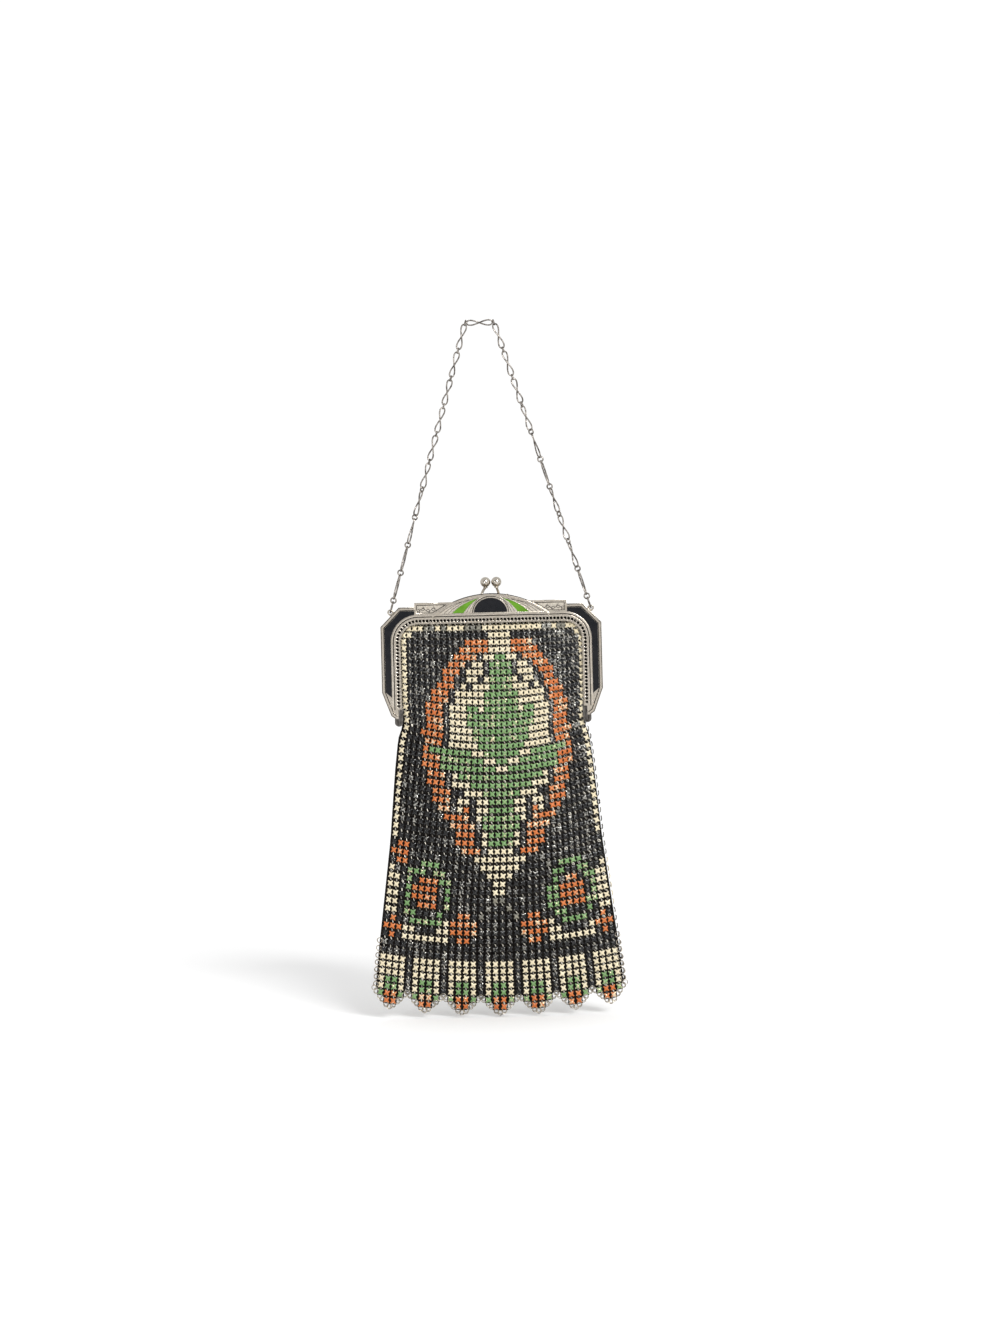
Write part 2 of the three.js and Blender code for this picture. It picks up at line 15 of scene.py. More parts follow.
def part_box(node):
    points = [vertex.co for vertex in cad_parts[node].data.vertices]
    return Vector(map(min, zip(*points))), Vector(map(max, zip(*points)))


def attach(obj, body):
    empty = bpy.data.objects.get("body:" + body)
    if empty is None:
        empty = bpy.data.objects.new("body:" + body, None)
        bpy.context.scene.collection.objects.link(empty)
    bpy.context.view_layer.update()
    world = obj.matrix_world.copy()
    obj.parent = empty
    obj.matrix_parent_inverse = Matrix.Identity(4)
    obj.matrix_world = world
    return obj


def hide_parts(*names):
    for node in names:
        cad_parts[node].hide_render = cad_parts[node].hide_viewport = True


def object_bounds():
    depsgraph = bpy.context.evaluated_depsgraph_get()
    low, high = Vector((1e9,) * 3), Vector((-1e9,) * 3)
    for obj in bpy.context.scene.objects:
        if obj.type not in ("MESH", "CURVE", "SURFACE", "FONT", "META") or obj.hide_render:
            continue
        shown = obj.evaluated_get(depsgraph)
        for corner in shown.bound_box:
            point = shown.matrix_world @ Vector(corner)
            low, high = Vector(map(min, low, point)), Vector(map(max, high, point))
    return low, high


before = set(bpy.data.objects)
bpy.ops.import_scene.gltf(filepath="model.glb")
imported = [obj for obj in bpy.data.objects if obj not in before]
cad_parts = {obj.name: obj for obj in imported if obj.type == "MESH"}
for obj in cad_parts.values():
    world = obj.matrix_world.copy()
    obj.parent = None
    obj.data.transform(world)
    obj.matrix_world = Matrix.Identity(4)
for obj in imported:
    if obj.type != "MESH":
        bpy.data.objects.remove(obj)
cad_low, cad_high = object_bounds()
print("CAD box in mm:", [round(1000 * (b - a), 1) for a, b in zip(cad_low, cad_high)])

# %% [markdown]
# Lengths are in millimetres here, as on a jeweller's drawing, and turn into metres when a mesh is
# made. The purse hangs a little to the right of the chain's top, so its own drawings start at the
# shoulders of the frame: x across, h up from the shoulders, y from the front to the back.

# %% Millimetres and the purse's own origin
MM = 0.001
BAG_TOP = -6.9
bag_low, bag_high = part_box("mesh_bag")
SHOULDERS = np.array([(bag_low.x + bag_high.x) / 2, 0.0, bag_high.z]) / MM - [0, 0, BAG_TOP]
dice = np.random.default_rng(7)
print("shoulders of the frame at", SHOULDERS.round(2))

# %% [markdown]
# Every piece is made the same way: points and faces become a mesh, its finishes go into slots, and
# it rides on the root body. Faces meeting at a steep angle stay crisp.

# %% Make a piece
CRISP_ANGLE, ROUND_CRISP = 38, 80


def mesh_of(points, faces, finishes, finish_of_face=None):
    assert np.isfinite(np.asarray(points)).all(), "a point of this mesh is not a number"
    mesh = bpy.data.meshes.new("draft")
    mesh.from_pydata((np.asarray(points) * MM).tolist(), [], faces)
    for finish in finishes:
        mesh.materials.append(finish)
    if finish_of_face is not None:
        mesh.polygons.foreach_set("material_index", finish_of_face)
    mesh.update()
    return mesh


def add_piece(mesh, name, slot, *nodes, crisp=CRISP_ANGLE):
    mesh.name = name
    for face in mesh.polygons:
        face.use_smooth = True
    mesh.set_sharp_from_angle(angle=math.radians(crisp))
    piece = bpy.data.objects.new(name, mesh)
    bpy.context.scene.collection.objects.link(piece)
    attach(piece, "root")
    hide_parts(*nodes)
    print(name, len(mesh.polygons), "faces")


class Batch:
    """Parts of one piece, gathered with their finishes before they become one mesh."""

    def __init__(self):
        self.points, self.faces, self.finish = [], [], []

    def add(self, part, finish=0):
        points, faces = part
        start = len(self.points)
        self.points.extend(np.asarray(points).tolist())
        self.faces.extend([start + i for i in face] for face in faces)
        self.finish.extend([finish] * len(faces))

    def mesh(self, finishes, turn=None, origin=(0, 0, 0)):
        points = np.array(self.points)
        placed = turn(points) if turn else points
        return mesh_of(placed + origin, self.faces, finishes, self.finish)


# %% [markdown]
# Metalwork needs only four ways of making a part: sheet cut along outlines, with its edges softened;
# round wire along a line; a profile turned on a lathe; and a small part laid out many times.

# %% Cut sheet, bend wire and turn on a lathe
def cut_sheet(outlines, front, back, bevel=0.1):
    """A plate between two depths, cut along closed outlines of (x, h): the first one, then its holes."""
    curve = bpy.data.curves.new("outline", "CURVE")
    curve.dimensions = "2D"
    curve.fill_mode = "BOTH"
    curve.extrude = (back - front) / 2 - bevel
    curve.bevel_depth = bevel
    curve.bevel_resolution = 1
    curve.offset = -bevel
    for outline in outlines:
        spline = curve.splines.new("POLY")
        spline.points.add(len(outline) - 1)
        flat = np.column_stack([outline, np.zeros(len(outline)), np.ones(len(outline))])
        spline.points.foreach_set("co", flat.ravel())
        spline.use_cyclic_u = True
    drawn = bpy.data.objects.new("outline", curve)
    mesh = bpy.data.meshes.new_from_object(drawn)
    points = np.empty(3 * len(mesh.vertices))
    mesh.vertices.foreach_get("co", points)
    points = points.reshape(-1, 3)
    faces = [tuple(face.vertices) for face in mesh.polygons]
    bpy.data.objects.remove(drawn)
    bpy.data.curves.remove(curve)
    bpy.data.meshes.remove(mesh)
    return np.column_stack([points[:, 0], (front + back) / 2 - points[:, 2], points[:, 1]]), faces


def ring_faces(rows, sides, closed):
    """Faces of a tube, from how many rings of points it has."""
    faces = []
    for i in range(rows if closed else rows - 1):
        for k in range(sides):
            a, b = i * sides, (i + 1) % rows * sides
            faces.append((a + k, a + (k + 1) % sides, b + (k + 1) % sides, b + k))
    if not closed:
        faces.append(tuple(range(sides))[::-1])
        faces.append(tuple(range((rows - 1) * sides, rows * sides)))
    return faces


def bend_wire(line, radius, sides=8, closed=False, up=(0.0, 0.0, 1.0)):
    """Round wire along a line; up is a direction that the line never runs along."""
    line = np.asarray(line, float)
    along = np.roll(line, -1, 0) - np.roll(line, 1, 0) if closed else np.gradient(line, axis=0)
    along /= np.linalg.norm(along, axis=1, keepdims=True)
    first = np.cross(along, up)
    first /= np.linalg.norm(first, axis=1, keepdims=True)
    second = np.cross(along, first)
    angles = np.linspace(0, 2 * math.pi, sides, endpoint=False)
    radius = np.broadcast_to(radius, len(line))[:, None, None]
    rim = np.cos(angles)[:, None] * first[:, None] + np.sin(angles)[:, None] * second[:, None]
    return (line[:, None] + radius * rim).reshape(-1, 3), ring_faces(len(line), sides, closed)


def turn_on_lathe(profile, steps=32):
    """A profile of (radius, height) pairs turned about the upright axis."""
    angles = np.linspace(0, 2 * math.pi, steps, endpoint=False)
    rings = [[(r * math.cos(a), r * math.sin(a), h) for a in angles] for r, h in profile]
    return np.array(rings).reshape(-1, 3), ring_faces(len(profile), steps, closed=False)


def placed(part, place, turn=None):
    """The part turned by a 3 x 3 array and moved."""
    points, faces = part
    points = points @ turn.T if turn is not None else points
    return points + place, faces


# %% [markdown]
# ## Finishes
# A finish is a small tree of shader nodes. One helper adds a node and wires its inputs, so that
# each finish below reads as a list of what the surface has.

# %% Nodes in one call
def add_node(tree, kind, wires=None, **settings):
    node = tree.nodes.new(kind)
    for name, value in settings.items():
        setattr(node, name, value)
    for name, value in (wires or {}).items():
        if isinstance(value, bpy.types.NodeSocket):
            tree.links.new(value, node.inputs[name])
        else:
            node.inputs[name].default_value = value
    return node


def ramp(tree, value, low, high):
    """A mask that rises from 0 at low to 1 at high."""
    node = add_node(tree, "ShaderNodeMapRange", {"Value": value})
    node.inputs["From Min"].default_value = low
    node.inputs["From Max"].default_value = high
    return node.outputs["Result"]


def new_group(name, inputs):
    tree = bpy.data.node_groups.new(name, "ShaderNodeTree")
    for socket, value in inputs.items():
        made = tree.interface.new_socket(socket, in_out="INPUT", socket_type="NodeSocketFloat")
        made.default_value = value
    return tree, tree.nodes.new("NodeGroupInput").outputs


def group_outputs(tree, outputs):
    end = tree.nodes.new("NodeGroupOutput")
    for socket, value in outputs.items():
        tree.interface.new_socket(socket, in_out="OUTPUT", socket_type="NodeSocketFloat")
        tree.links.new(value, end.inputs[socket])
    return tree


# %% [markdown]
# Three effects turn up on several metals and enamels: cloudy tarnish, chips and scuffs, and hammered
# or stippled relief. Each is a node group, built once, with its scale and its strength as inputs.

# %% Shared effects as node groups
def make_tarnish():
    """Cloudy darkening, in patches of the given size with finer grain inside."""
    tree, given = new_group("Tarnish", {"Scale": 200.0, "Low": 0.4, "High": 0.7})
    place = add_node(tree, "ShaderNodeTexCoord").outputs["Object"]
    clouds = add_node(tree, "ShaderNodeTexNoise", {"Vector": place, "Scale": given["Scale"], "Detail": 5.0})
    mask = add_node(tree, "ShaderNodeMapRange", {
        "Value": clouds.outputs["Fac"], "From Min": given["Low"], "From Max": given["High"]})
    return group_outputs(tree, {"Mask": mask.outputs["Result"]})


def make_chips():
    """Small chips where enamel has flaked, as a mask with hard edges."""
    tree, given = new_group("Chips", {"Scale": 1500.0, "Share": 0.3})
    place = add_node(tree, "ShaderNodeTexCoord").outputs["Object"]
    flakes = add_node(tree, "ShaderNodeTexNoise", {"Vector": place, "Scale": given["Scale"], "Detail": 2.0})
    level = add_node(tree, "ShaderNodeMath", {0: 0.72, 1: given["Share"]}, operation="SUBTRACT")
    edge = add_node(tree, "ShaderNodeMath", {0: level.outputs[0], 1: 0.03}, operation="ADD")
    mask = add_node(tree, "ShaderNodeMapRange", {
        "Value": flakes.outputs["Fac"], "From Min": level.outputs[0], "From Max": edge.outputs[0]})
    return group_outputs(tree, {"Mask": mask.outputs["Result"]})


def make_relief():
    """A height for bump: pits of the given scale with grain on them."""
    tree, given = new_group("Relief", {"Scale": 900.0, "Grain": 0.3})
    place = add_node(tree, "ShaderNodeTexCoord").outputs["Object"]
    pits = add_node(tree, "ShaderNodeTexVoronoi", {"Vector": place, "Scale": given["Scale"]})
    grain = add_node(tree, "ShaderNodeTexNoise", {"Vector": place, "Scale": given["Scale"], "Detail": 3.0})
    height = add_node(tree, "ShaderNodeMix", {
        "Factor": given["Grain"], "A": pits.outputs["Distance"], "B": grain.outputs["Fac"]})
    return group_outputs(tree, {"Height": height.outputs["Result"]})


TARNISH = make_tarnish()
CHIPS = make_chips()
RELIEF = make_relief()


def use(tree, group, **values):
    node = add_node(tree, "ShaderNodeGroup", node_tree=group)
    for name, value in values.items():
        if isinstance(value, bpy.types.NodeSocket):
            tree.links.new(value, node.inputs[name])
        else:
            node.inputs[name].default_value = value
    return node.outputs[0]


# %% [markdown]
# A metal is its bright colour with a darker tarnish over it, rougher where it is tarnished. The
# frame is bright and warm, the chain and the rings are darker, and the fields beside the enamel are
# stippled with a punch.

# %% Metals
def blend_colour(tree, mask, first, second):
    node = add_node(tree, "ShaderNodeMix", {"Factor": mask}, data_type="RGBA")
    for socket, value in ((node.inputs[6], first), (node.inputs[7], second)):
        if isinstance(value, bpy.types.NodeSocket):
            tree.links.new(value, socket)
        else:
            socket.default_value = (*value, 1.0)
    return node.outputs[2]


def blend_value(tree, mask, first, second):
    return add_node(tree, "ShaderNodeMix", {"Factor": mask, "A": first, "B": second}).outputs["Result"]


def new_finish(name):
    finish = bpy.data.materials.new(name)
    finish.use_nodes = True
    tree = finish.node_tree
    return finish, tree, tree.nodes["Principled BSDF"].inputs


def bump(tree, height, strength, distance):
    node = add_node(tree, "ShaderNodeBump", {"Height": height, "Strength": strength, "Distance": distance})
    return node.outputs["Normal"]


def metal(name, bright, dull, tarnish, smooth, rough, pits=None):
    finish, tree, shader = new_finish(name)
    scale, low, high = tarnish
    mask = use(tree, TARNISH, Scale=scale, Low=low, High=high)
    tree.links.new(blend_colour(tree, mask, bright, dull), shader["Base Color"])
    tree.links.new(blend_value(tree, mask, smooth, rough), shader["Roughness"])
    shader["Metallic"].default_value = 1.0
    pit_scale, pit_grain, pit_depth = pits or (1200.0, 0.9, 0.00002)
    height = use(tree, RELIEF, Scale=pit_scale, Grain=pit_grain)
    tree.links.new(bump(tree, height, 0.6, pit_depth), shader["Normal"])
    return finish


frame_silver = metal("frame_silver", (0.66, 0.60, 0.52), (0.36, 0.32, 0.26), (320.0, 0.42, 0.75), 0.24, 0.40)
punched_silver = metal(
    "punched_silver", (0.62, 0.57, 0.49), (0.34, 0.30, 0.25), (700.0, 0.40, 0.7), 0.3, 0.5,
    pits=(1800.0, 0.25, 0.00012))
chain_steel = metal("chain_steel", (0.36, 0.33, 0.30), (0.09, 0.08, 0.07), (700.0, 0.38, 0.62), 0.3, 0.5)
ring_steel = metal("ring_steel", (0.55, 0.50, 0.42), (0.16, 0.13, 0.10), (900.0, 0.38, 0.66), 0.28, 0.5)
ball_silver = metal("ball_silver", (0.50, 0.46, 0.40), (0.26, 0.23, 0.19), (240.0, 0.45, 0.7), 0.1, 0.26)
hinge_steel = metal("hinge_steel", (0.16, 0.15, 0.14), (0.05, 0.045, 0.04), (500.0, 0.4, 0.65), 0.3, 0.45)
# Near-black painted shade: the web behind the plates, thin lines beside the frame's raised parts and the
# sheet behind the frame's holes.
painted_shade_black = metal("painted_shade_black", (0.02, 0.018, 0.016), (0.006, 0.005, 0.005), (1200.0, 0.4, 0.6), 0.6, 0.8)


# %% [markdown]
# The small links between the plates are coloured at random from bright silver to nearly black, as
# painted glints and painted shade on rings of one metal. Each one is a loose island of its mesh, and
# gets its shade from that island's random number.

# %% Links of the mesh
def make_link_glint_shade():
    finish, tree, shader = new_finish("link_glint_shade")
    island = add_node(tree, "ShaderNodeNewGeometry").outputs["Random Per Island"]
    # Painted glints and shade: each link's random number sets it between near black and bright silver.
    shade = blend_colour(tree, ramp(tree, island, 0.1, 0.8), (0.10, 0.09, 0.08), (0.84, 0.80, 0.70))
    tree.links.new(shade, shader["Base Color"])
    shader["Metallic"].default_value = 0.55
    shader["Roughness"].default_value = 0.34
    return finish


link_glint_shade = make_link_glint_shade()

# %% [markdown]
# The frame's enamel is fired glass, poured into sunk fields: deep colour under a clear coat, with
# a hardly visible unevenness that bends the reflections.

# %% Fired enamel of the frame
def fired_enamel(name, colour, deep):
    finish, tree, shader = new_finish(name)
    mask = use(tree, TARNISH, Scale=260.0, Low=0.35, High=0.7)
    tree.links.new(blend_colour(tree, mask, colour, deep), shader["Base Color"])
    shader["Roughness"].default_value = 0.14
    shader["Specular IOR Level"].default_value = 0.35
    height = use(tree, RELIEF, Scale=160.0, Grain=1.0)
    tree.links.new(bump(tree, height, 0.25, 0.0001), shader["Normal"])
    return finish


black_glaze = fired_enamel("black_glaze", (0.006, 0.007, 0.009), (0.012, 0.012, 0.014))
green_glaze = fired_enamel("green_glaze", (0.105, 0.25, 0.022), (0.07, 0.17, 0.014))


# %% [markdown]
# The plates were painted before they were linked, so no two are quite alike. A number that each
# loose island of the mesh gets at random shifts the colour from plate to plate, and decides how
# much of its paint has chipped off down to the steel.

# %% Painted plates
PALE, GREY = (0.62, 0.50, 0.34), (0.34, 0.33, 0.30)


def painted_plate(name, colour, second, chips, gloss, bared):
    finish, tree, shader = new_finish(name)
    island = add_node(tree, "ShaderNodeNewGeometry").outputs["Random Per Island"]
    paint = blend_colour(tree, island, colour, second)
    clouds = use(tree, TARNISH, Scale=1100.0, Low=0.35, High=0.75)
    paint = blend_colour(tree, clouds, paint, tuple(0.7 * c for c in second))
    share = blend_value(tree, ramp(tree, island, 0.35, 1.0), 0.0, chips)
    flaked = use(tree, CHIPS, Scale=1300.0, Share=share)
    tree.links.new(blend_colour(tree, flaked, paint, bared), shader["Base Color"])
    tree.links.new(blend_value(tree, clouds, gloss, gloss + 0.14), shader["Roughness"])
    tree.links.new(blend_value(tree, flaked, 0.0, 0.6), shader["Metallic"])
    shader["Specular IOR Level"].default_value = 0.4
    height = use(tree, RELIEF, Scale=1600.0, Grain=0.8)
    tree.links.new(bump(tree, height, 0.35, 0.00006), shader["Normal"])
    return finish


cream_plate = painted_plate("cream_plate", (0.60, 0.51, 0.34), (0.70, 0.62, 0.44), 0.08, 0.34, PALE)
leaf_plate = painted_plate("leaf_plate", (0.10, 0.22, 0.065), (0.19, 0.32, 0.13), 0.20, 0.34, PALE)
orange_plate = painted_plate("orange_plate", (0.44, 0.095, 0.012), (0.56, 0.17, 0.04), 0.28, 0.34, PALE)
black_plate = painted_plate("black_plate", (0.003, 0.003, 0.004), (0.010, 0.010, 0.011), 0.24, 0.07, GREY)
faded_plate = painted_plate("faded_plate", (0.26, 0.24, 0.18), (0.10, 0.10, 0.09), 0.3, 0.3, GREY)
PLATE_FINISHES = [black_plate, cream_plate, leaf_plate, orange_plate, faded_plate, ring_steel]
BLACK, CREAM, LEAF, ORANGE, FADED, STEEL = range(len(PLATE_FINISHES))

# %% [markdown]
# ## The bag
# The bag hangs as a flat tube from the frame. Its shape is a short table of sections, the same one
# that the solid model has: how wide it is, how far it stands out at the sides and in the middle,
# and how much its rows sag like a smile. Between the sections the numbers are smoothed, so that
# the mesh runs on without a kink.

# %% The hanging shape of the bag
RIM_HALF, SEAM_HALF = 42.3, 54.4
HINGE_DOWN, BODY_LENGTH = 52.4, 154.3
PINCH, SEAT, BELLY, SAG, FOLD = 1.0, 3.9, 8.4, 7.0, 1.7
FOLD_PLACE, FOLD_WIDTH, CROSS_POWER = 0.79, 0.09, 2.4
TAB_LENGTH, TAB_FLARE, TAB_SPREAD = 25.0, 2.7, 1.45
SIDE_TURN = math.radians(34)

SECTIONS = np.array([
    # down, flare, pinch, edge, belly, sag, fold
    (0.00, 0.00, 0, 1.00, 0.00, 0.00, 0.00),
    (0.45, 0.00, 0, 1.00, 0.24, 0.48, 0.80),
    (0.82, 0.00, 0, 0.95, 0.42, 0.86, 1.00),
    (0.95, 0.00, 1, 0.77, 0.55, 1.00, 1.00),
    (1.02, 0.00, 1, 0.40, 0.68, 1.00, 1.00),
    (1.07, 0.07, 0, 0.12, 0.79, 0.99, 1.00),
    (1.21, 0.22, 0, 0.10, 0.94, 0.95, 1.00),
    (1.52, 0.47, 0, 0.10, 0.98, 0.86, 0.60),
    (1.91, 0.90, 0, 0.11, 0.49, 0.78, 0.00),
    (2.00, 1.00, 0, 0.20, 0.26, 0.76, 0.00),
])


def section_curves():
    """The sections as smooth curves over the distance down from the top edge."""
    share = SECTIONS[:, 0]
    downs = HINGE_DOWN * np.minimum(share, 1) + (BODY_LENGTH - HINGE_DOWN) * np.maximum(share - 1, 0)
    _, flare, pinch, edge, belly, sag, fold = SECTIONS.T
    half = RIM_HALF + flare * (SEAM_HALF - RIM_HALF) - pinch * PINCH
    end = BODY_LENGTH + TAB_LENGTH
    downs = np.append(downs, [BODY_LENGTH + 0.3 * TAB_LENGTH, end])
    columns = {
        "half": np.append(half, [SEAM_HALF + 0.3 * TAB_FLARE, SEAM_HALF + TAB_FLARE]),
        "edge": np.append(edge * SEAT, [TAB_SPREAD, TAB_SPREAD]),
        "belly": np.append(belly * BELLY, [0.85 * belly[-1] * BELLY, 0.5 * belly[-1] * BELLY]),
        "sag": np.append(sag * SAG, [sag[-1] * SAG] * 2),
        "fold": np.append(fold * FOLD, [0, 0]),
    }
    step = 0.5
    fine = np.arange(-8, end + 8, step)
    window = np.hanning(13)
    smooth = {name: np.convolve(np.pad(np.interp(fine, downs, column), 6, mode="edge"),
                                window / window.sum(), mode="valid") for name, column in columns.items()}
    return fine, smooth


DOWN, CURVES = section_curves()

# %% [markdown]
# A plate's place is counted in columns from the middle and in rows from the top, as the mesh maker
# counts. The mesh turns away towards the sides, so columns look closer there, and at the top the
# whole cloth has swung a little to the right.

# %% From columns and rows to places in space
EDGE_COLUMN = 17.5
ROW_MARKS = (0, 1, 20, 43, 51, 53)
ROW_DOWNS = (-1.97, 1.42, 65.8, 151.8, 177.8, 184.3)
SWAY_ROWS = (0, 10, 20, 28, 36, 44)
SWAY = (0.08, 0.095, 0.075, 0.05, 0.01, 0.0)
EASE_DOWNS, EASE = (45, 58), (0.2, 1.1)


def wall_place(column, row):
    """A point of the front wall, in mm from the shoulders of the frame."""
    down = np.interp(row, ROW_MARKS, ROW_DOWNS)
    base = np.sin(column / EDGE_COLUMN * SIDE_TURN) / math.sin(SIDE_TURN)
    sway = np.interp(row, SWAY_ROWS, SWAY)
    share = base + sway * (1 - np.clip(base ** 2, 0, 1))
    at = {name: np.interp(down, DOWN, curve) for name, curve in CURVES.items()}
    x = (at["half"] + np.interp(down, EASE_DOWNS, EASE)) * share
    y = -(at["edge"] + at["belly"] * (1 - np.clip(np.abs(share), 0, 1.2) ** CROSS_POWER))
    y = y + at["fold"] * np.exp(-(((share - FOLD_PLACE) / FOLD_WIDTH) ** 2))
    h = BAG_TOP - down + at["sag"] * share ** 2
    return np.stack([x, y, h], axis=-1)


def wall_frame(column, row):
    """The place, and the directions across, up and out of the wall there."""
    place = wall_place(column, row)
    across = wall_place(column + 0.05, row) - wall_place(column - 0.05, row)
    up = wall_place(column, row - 0.05) - wall_place(column, row + 0.05)
    across /= np.linalg.norm(across, axis=-1, keepdims=True)
    out = np.cross(across, up)
    out /= np.linalg.norm(out, axis=-1, keepdims=True)
    up = np.cross(out, across)
    return place, across, up, out


# %% [markdown]
# The pattern is an old ornament of such bags: a leafy plant in an almond medallion, a roundel in
# each lower corner, dots, swags, and a vandyked hem. It is drawn here with widths that change from
# row to row and with ovals, and each plate takes the colour of the shape that it falls in.

# %% Shapes of the ornament
MEDALLION_ROWS = (2.6, 3, 4, 5, 6, 8, 10, 12, 14, 16, 18, 20, 22, 24, 26, 28, 30, 31)
MEDALLION_OUTER = (
    2, 5.6, 7.2, 8.2, 9.1, 10.4, 11.6, 12.5, 13.1, 13.5, 13.4, 12.7, 11.6, 10.6, 8.9, 7.4, 5.8, 1.4)
BAND_ROWS = (3, 4, 5, 6, 8, 10, 12, 14, 16, 18, 20, 22, 24, 25, 26, 28, 30, 31)
BAND_INNER = (1.9, 1.6, 4.4, 6.3, 7.9, 9.0, 9.6, 10.1, 10.3, 10.2, 9.6, 8.6, 7.9, 7.6, 4.7, 4.2, 3.0, 0.6)
SHAFT_ROWS, SHAFT_HALF = (4.6, 5, 6, 9, 10, 11, 17, 18, 19), (0, 1, 2, 2, 3, 3, 4, 3, 1.2)
ROOT_ROWS, ROOT_HALF = (22, 23, 24, 25, 26, 27, 28, 29, 30), (5, 3, 2, 2, 3, 3, 2, 2, 1)


def oval(column, row, centre, size):
    return ((column - centre[0]) / size[0]) ** 2 + ((row - centre[1]) / size[1]) ** 2 <= 1


def is_plant(side, row):
    """The leafy plant: a shaft, two upper leaves, two wide arms and a lower leaf."""
    shaft = side < np.interp(row, SHAFT_ROWS, SHAFT_HALF) and row < 20
    leaf = 12 <= row <= 16 and side < np.interp(row, (12, 13, 14, 15, 16), (6, 6, 6, 5, 5))
    notch = row == 12 and 2 < side < 4
    arm = abs(row - (21.4 - 0.29 * side)) < np.interp(side, (0, 1, 5, 9, 11.6), (0.6, 1.1, 1.9, 1.7, 0.5))
    arm = arm and side < 11.6
    low = row >= 22 and side < np.interp(row, ROOT_ROWS, ROOT_HALF)
    return (shaft or leaf and not notch or arm or low) and row < 31


def is_curl(side, row):
    """Black spots where two curls hang beside the shaft."""
    spots = ((3.5, 5), (2.5, 6), (2.5, 7), (6.5, 7), (6.5, 8), (3.5, 8), (5.5, 9), (4.5, 24), (6.5, 23))
    return (side, row) in spots or row == 5 and side > 5


def medallion_colour(side, row):
    outer = np.interp(row, MEDALLION_ROWS, MEDALLION_OUTER)
    inner = np.interp(row, BAND_ROWS, BAND_INNER)
    if row < 3 or row > 30 or side > outer:
        return None
    if is_plant(side, row) and not (side > inner and row != 18):
        return LEAF
    if side > inner or (side == 5.5 and 24 < row < 27):
        return ORANGE
    if side > inner - 1 or is_curl(side, row) or (side == 4.5 and row in (24, 25)):
        return BLACK
    return CREAM


def corner_colour(side, column, row):
    """The roundel with what lies round it: dots, a side panel and a swag."""
    across, down = side - (11.1 if column > 0 else 10.7), row - 35.7
    if oval(across, down, (0, 0), (2.05, 2.2)) or oval(side, row, (4.9, 39.5), (1.8, 1.8)):
        return ORANGE
    if oval(column, row, (-15.3, 31), (1.3, 1.7)) or oval(side, row, (15.5, 40), (1.2, 1.7)):
        return ORANGE
    if oval(across, down, (0, 0), (3.8, 4.2)):
        return BLACK if oval(across, down, (0, 0), (2.6, 2.8)) else LEAF
    if side > 15 and 33 <= row <= 38 and side + row > 49:
        return CREAM
    if 39 <= row <= 41 and 7 < side < 14 and not oval(across, down, (0, 0), (4.4, 4.7)):
        return CREAM
    return None


def middle_colour(side, column, row):
    """What stands on the centre line above and below the medallion."""
    if row <= 4 and side < 2 or row == 30 and side < 1:
        return CREAM
    if 31 <= row <= 35 and side < 3.9 - 0.8 * (row - 31):
        return CREAM
    if 36 <= row <= 38 and side == row - 35.5:
        return FADED
    if (column, row) in ((6.5, 31), (7.5, 32)):
        return FADED
    return None


def border_colour(side, row):
    along_top = row == 1 and side < 16 or row == 2 and 15 < side < 17
    if along_top and side > 2 and dice.random() < 0.4:
        return FADED
    return CREAM if along_top or side == 16.5 and 2 < row < 30 else None


# %% [markdown]
# The hem is cut into tabs of four columns with a black column between them. Its repeat is small
# enough to chart as a mesh maker would: one letter for each plate.

# %% The tabs of the hem
BODY_ROWS = 44
TAB_COLUMNS = 5
TAB_CHART = ("CCCC", "CCCC", "CCCC", "CLLC", "CLLC", "LOOL", ".OO.")
CHART_COLOURS = {"C": CREAM, "L": LEAF, "O": ORANGE}
GAP_ROWS = 5


def tab_colour(column, row):
    """The colour of a plate of the hem, or None where the hem is cut away."""
    step = int(column + EDGE_COLUMN) % TAB_COLUMNS
    line = row - BODY_ROWS
    if step == 0:
        return BLACK if line < GAP_ROWS else None
    return CHART_COLOURS.get(TAB_CHART[line][step - 1])


def plate_colour(column, row):
    side = abs(column)
    if row >= BODY_ROWS:
        return tab_colour(column, row)
    for found in (middle_colour(side, column, row), medallion_colour(side, row),
                  corner_colour(side, column, row),
                  border_colour(side, row)):
        if found is not None:
            return found
    return BLACK


def chart_plates():
    """Every plate of one wall as columns, rows and colours."""
    plates = []
    for row in range(BODY_ROWS + len(TAB_CHART)):
        for column in np.arange(-EDGE_COLUMN + 1, EDGE_COLUMN + 1):
            colour = plate_colour(column, row)
            if colour is not None:
                plates.append((column, row, colour))
    return plates


PLATES = chart_plates()
print("plates in one wall:", len(PLATES))

# %% [markdown]
# A plate is a small star, stamped so that its middle stands proud, with four arms that bend down
# and back round the rings. It is modelled once and laid on the wall wherever the chart has one,
# each with a small tilt of its own: that is what makes the real mesh glitter.

# %% One star plate
PLATE_WIDTH, PLATE_HEIGHT = 2.5, 2.56
STAR_ANGLES = (0, 19, 36, 54, 71)
STAR_REACH = (0.62, 0.76, 1.25, 1.25, 0.76)
DOME_SHARE, DOME_RISE, DOME_TOP = 0.58, 0.20, 0.30
ARM_DROP, SKIRT = 0.16, 0.16


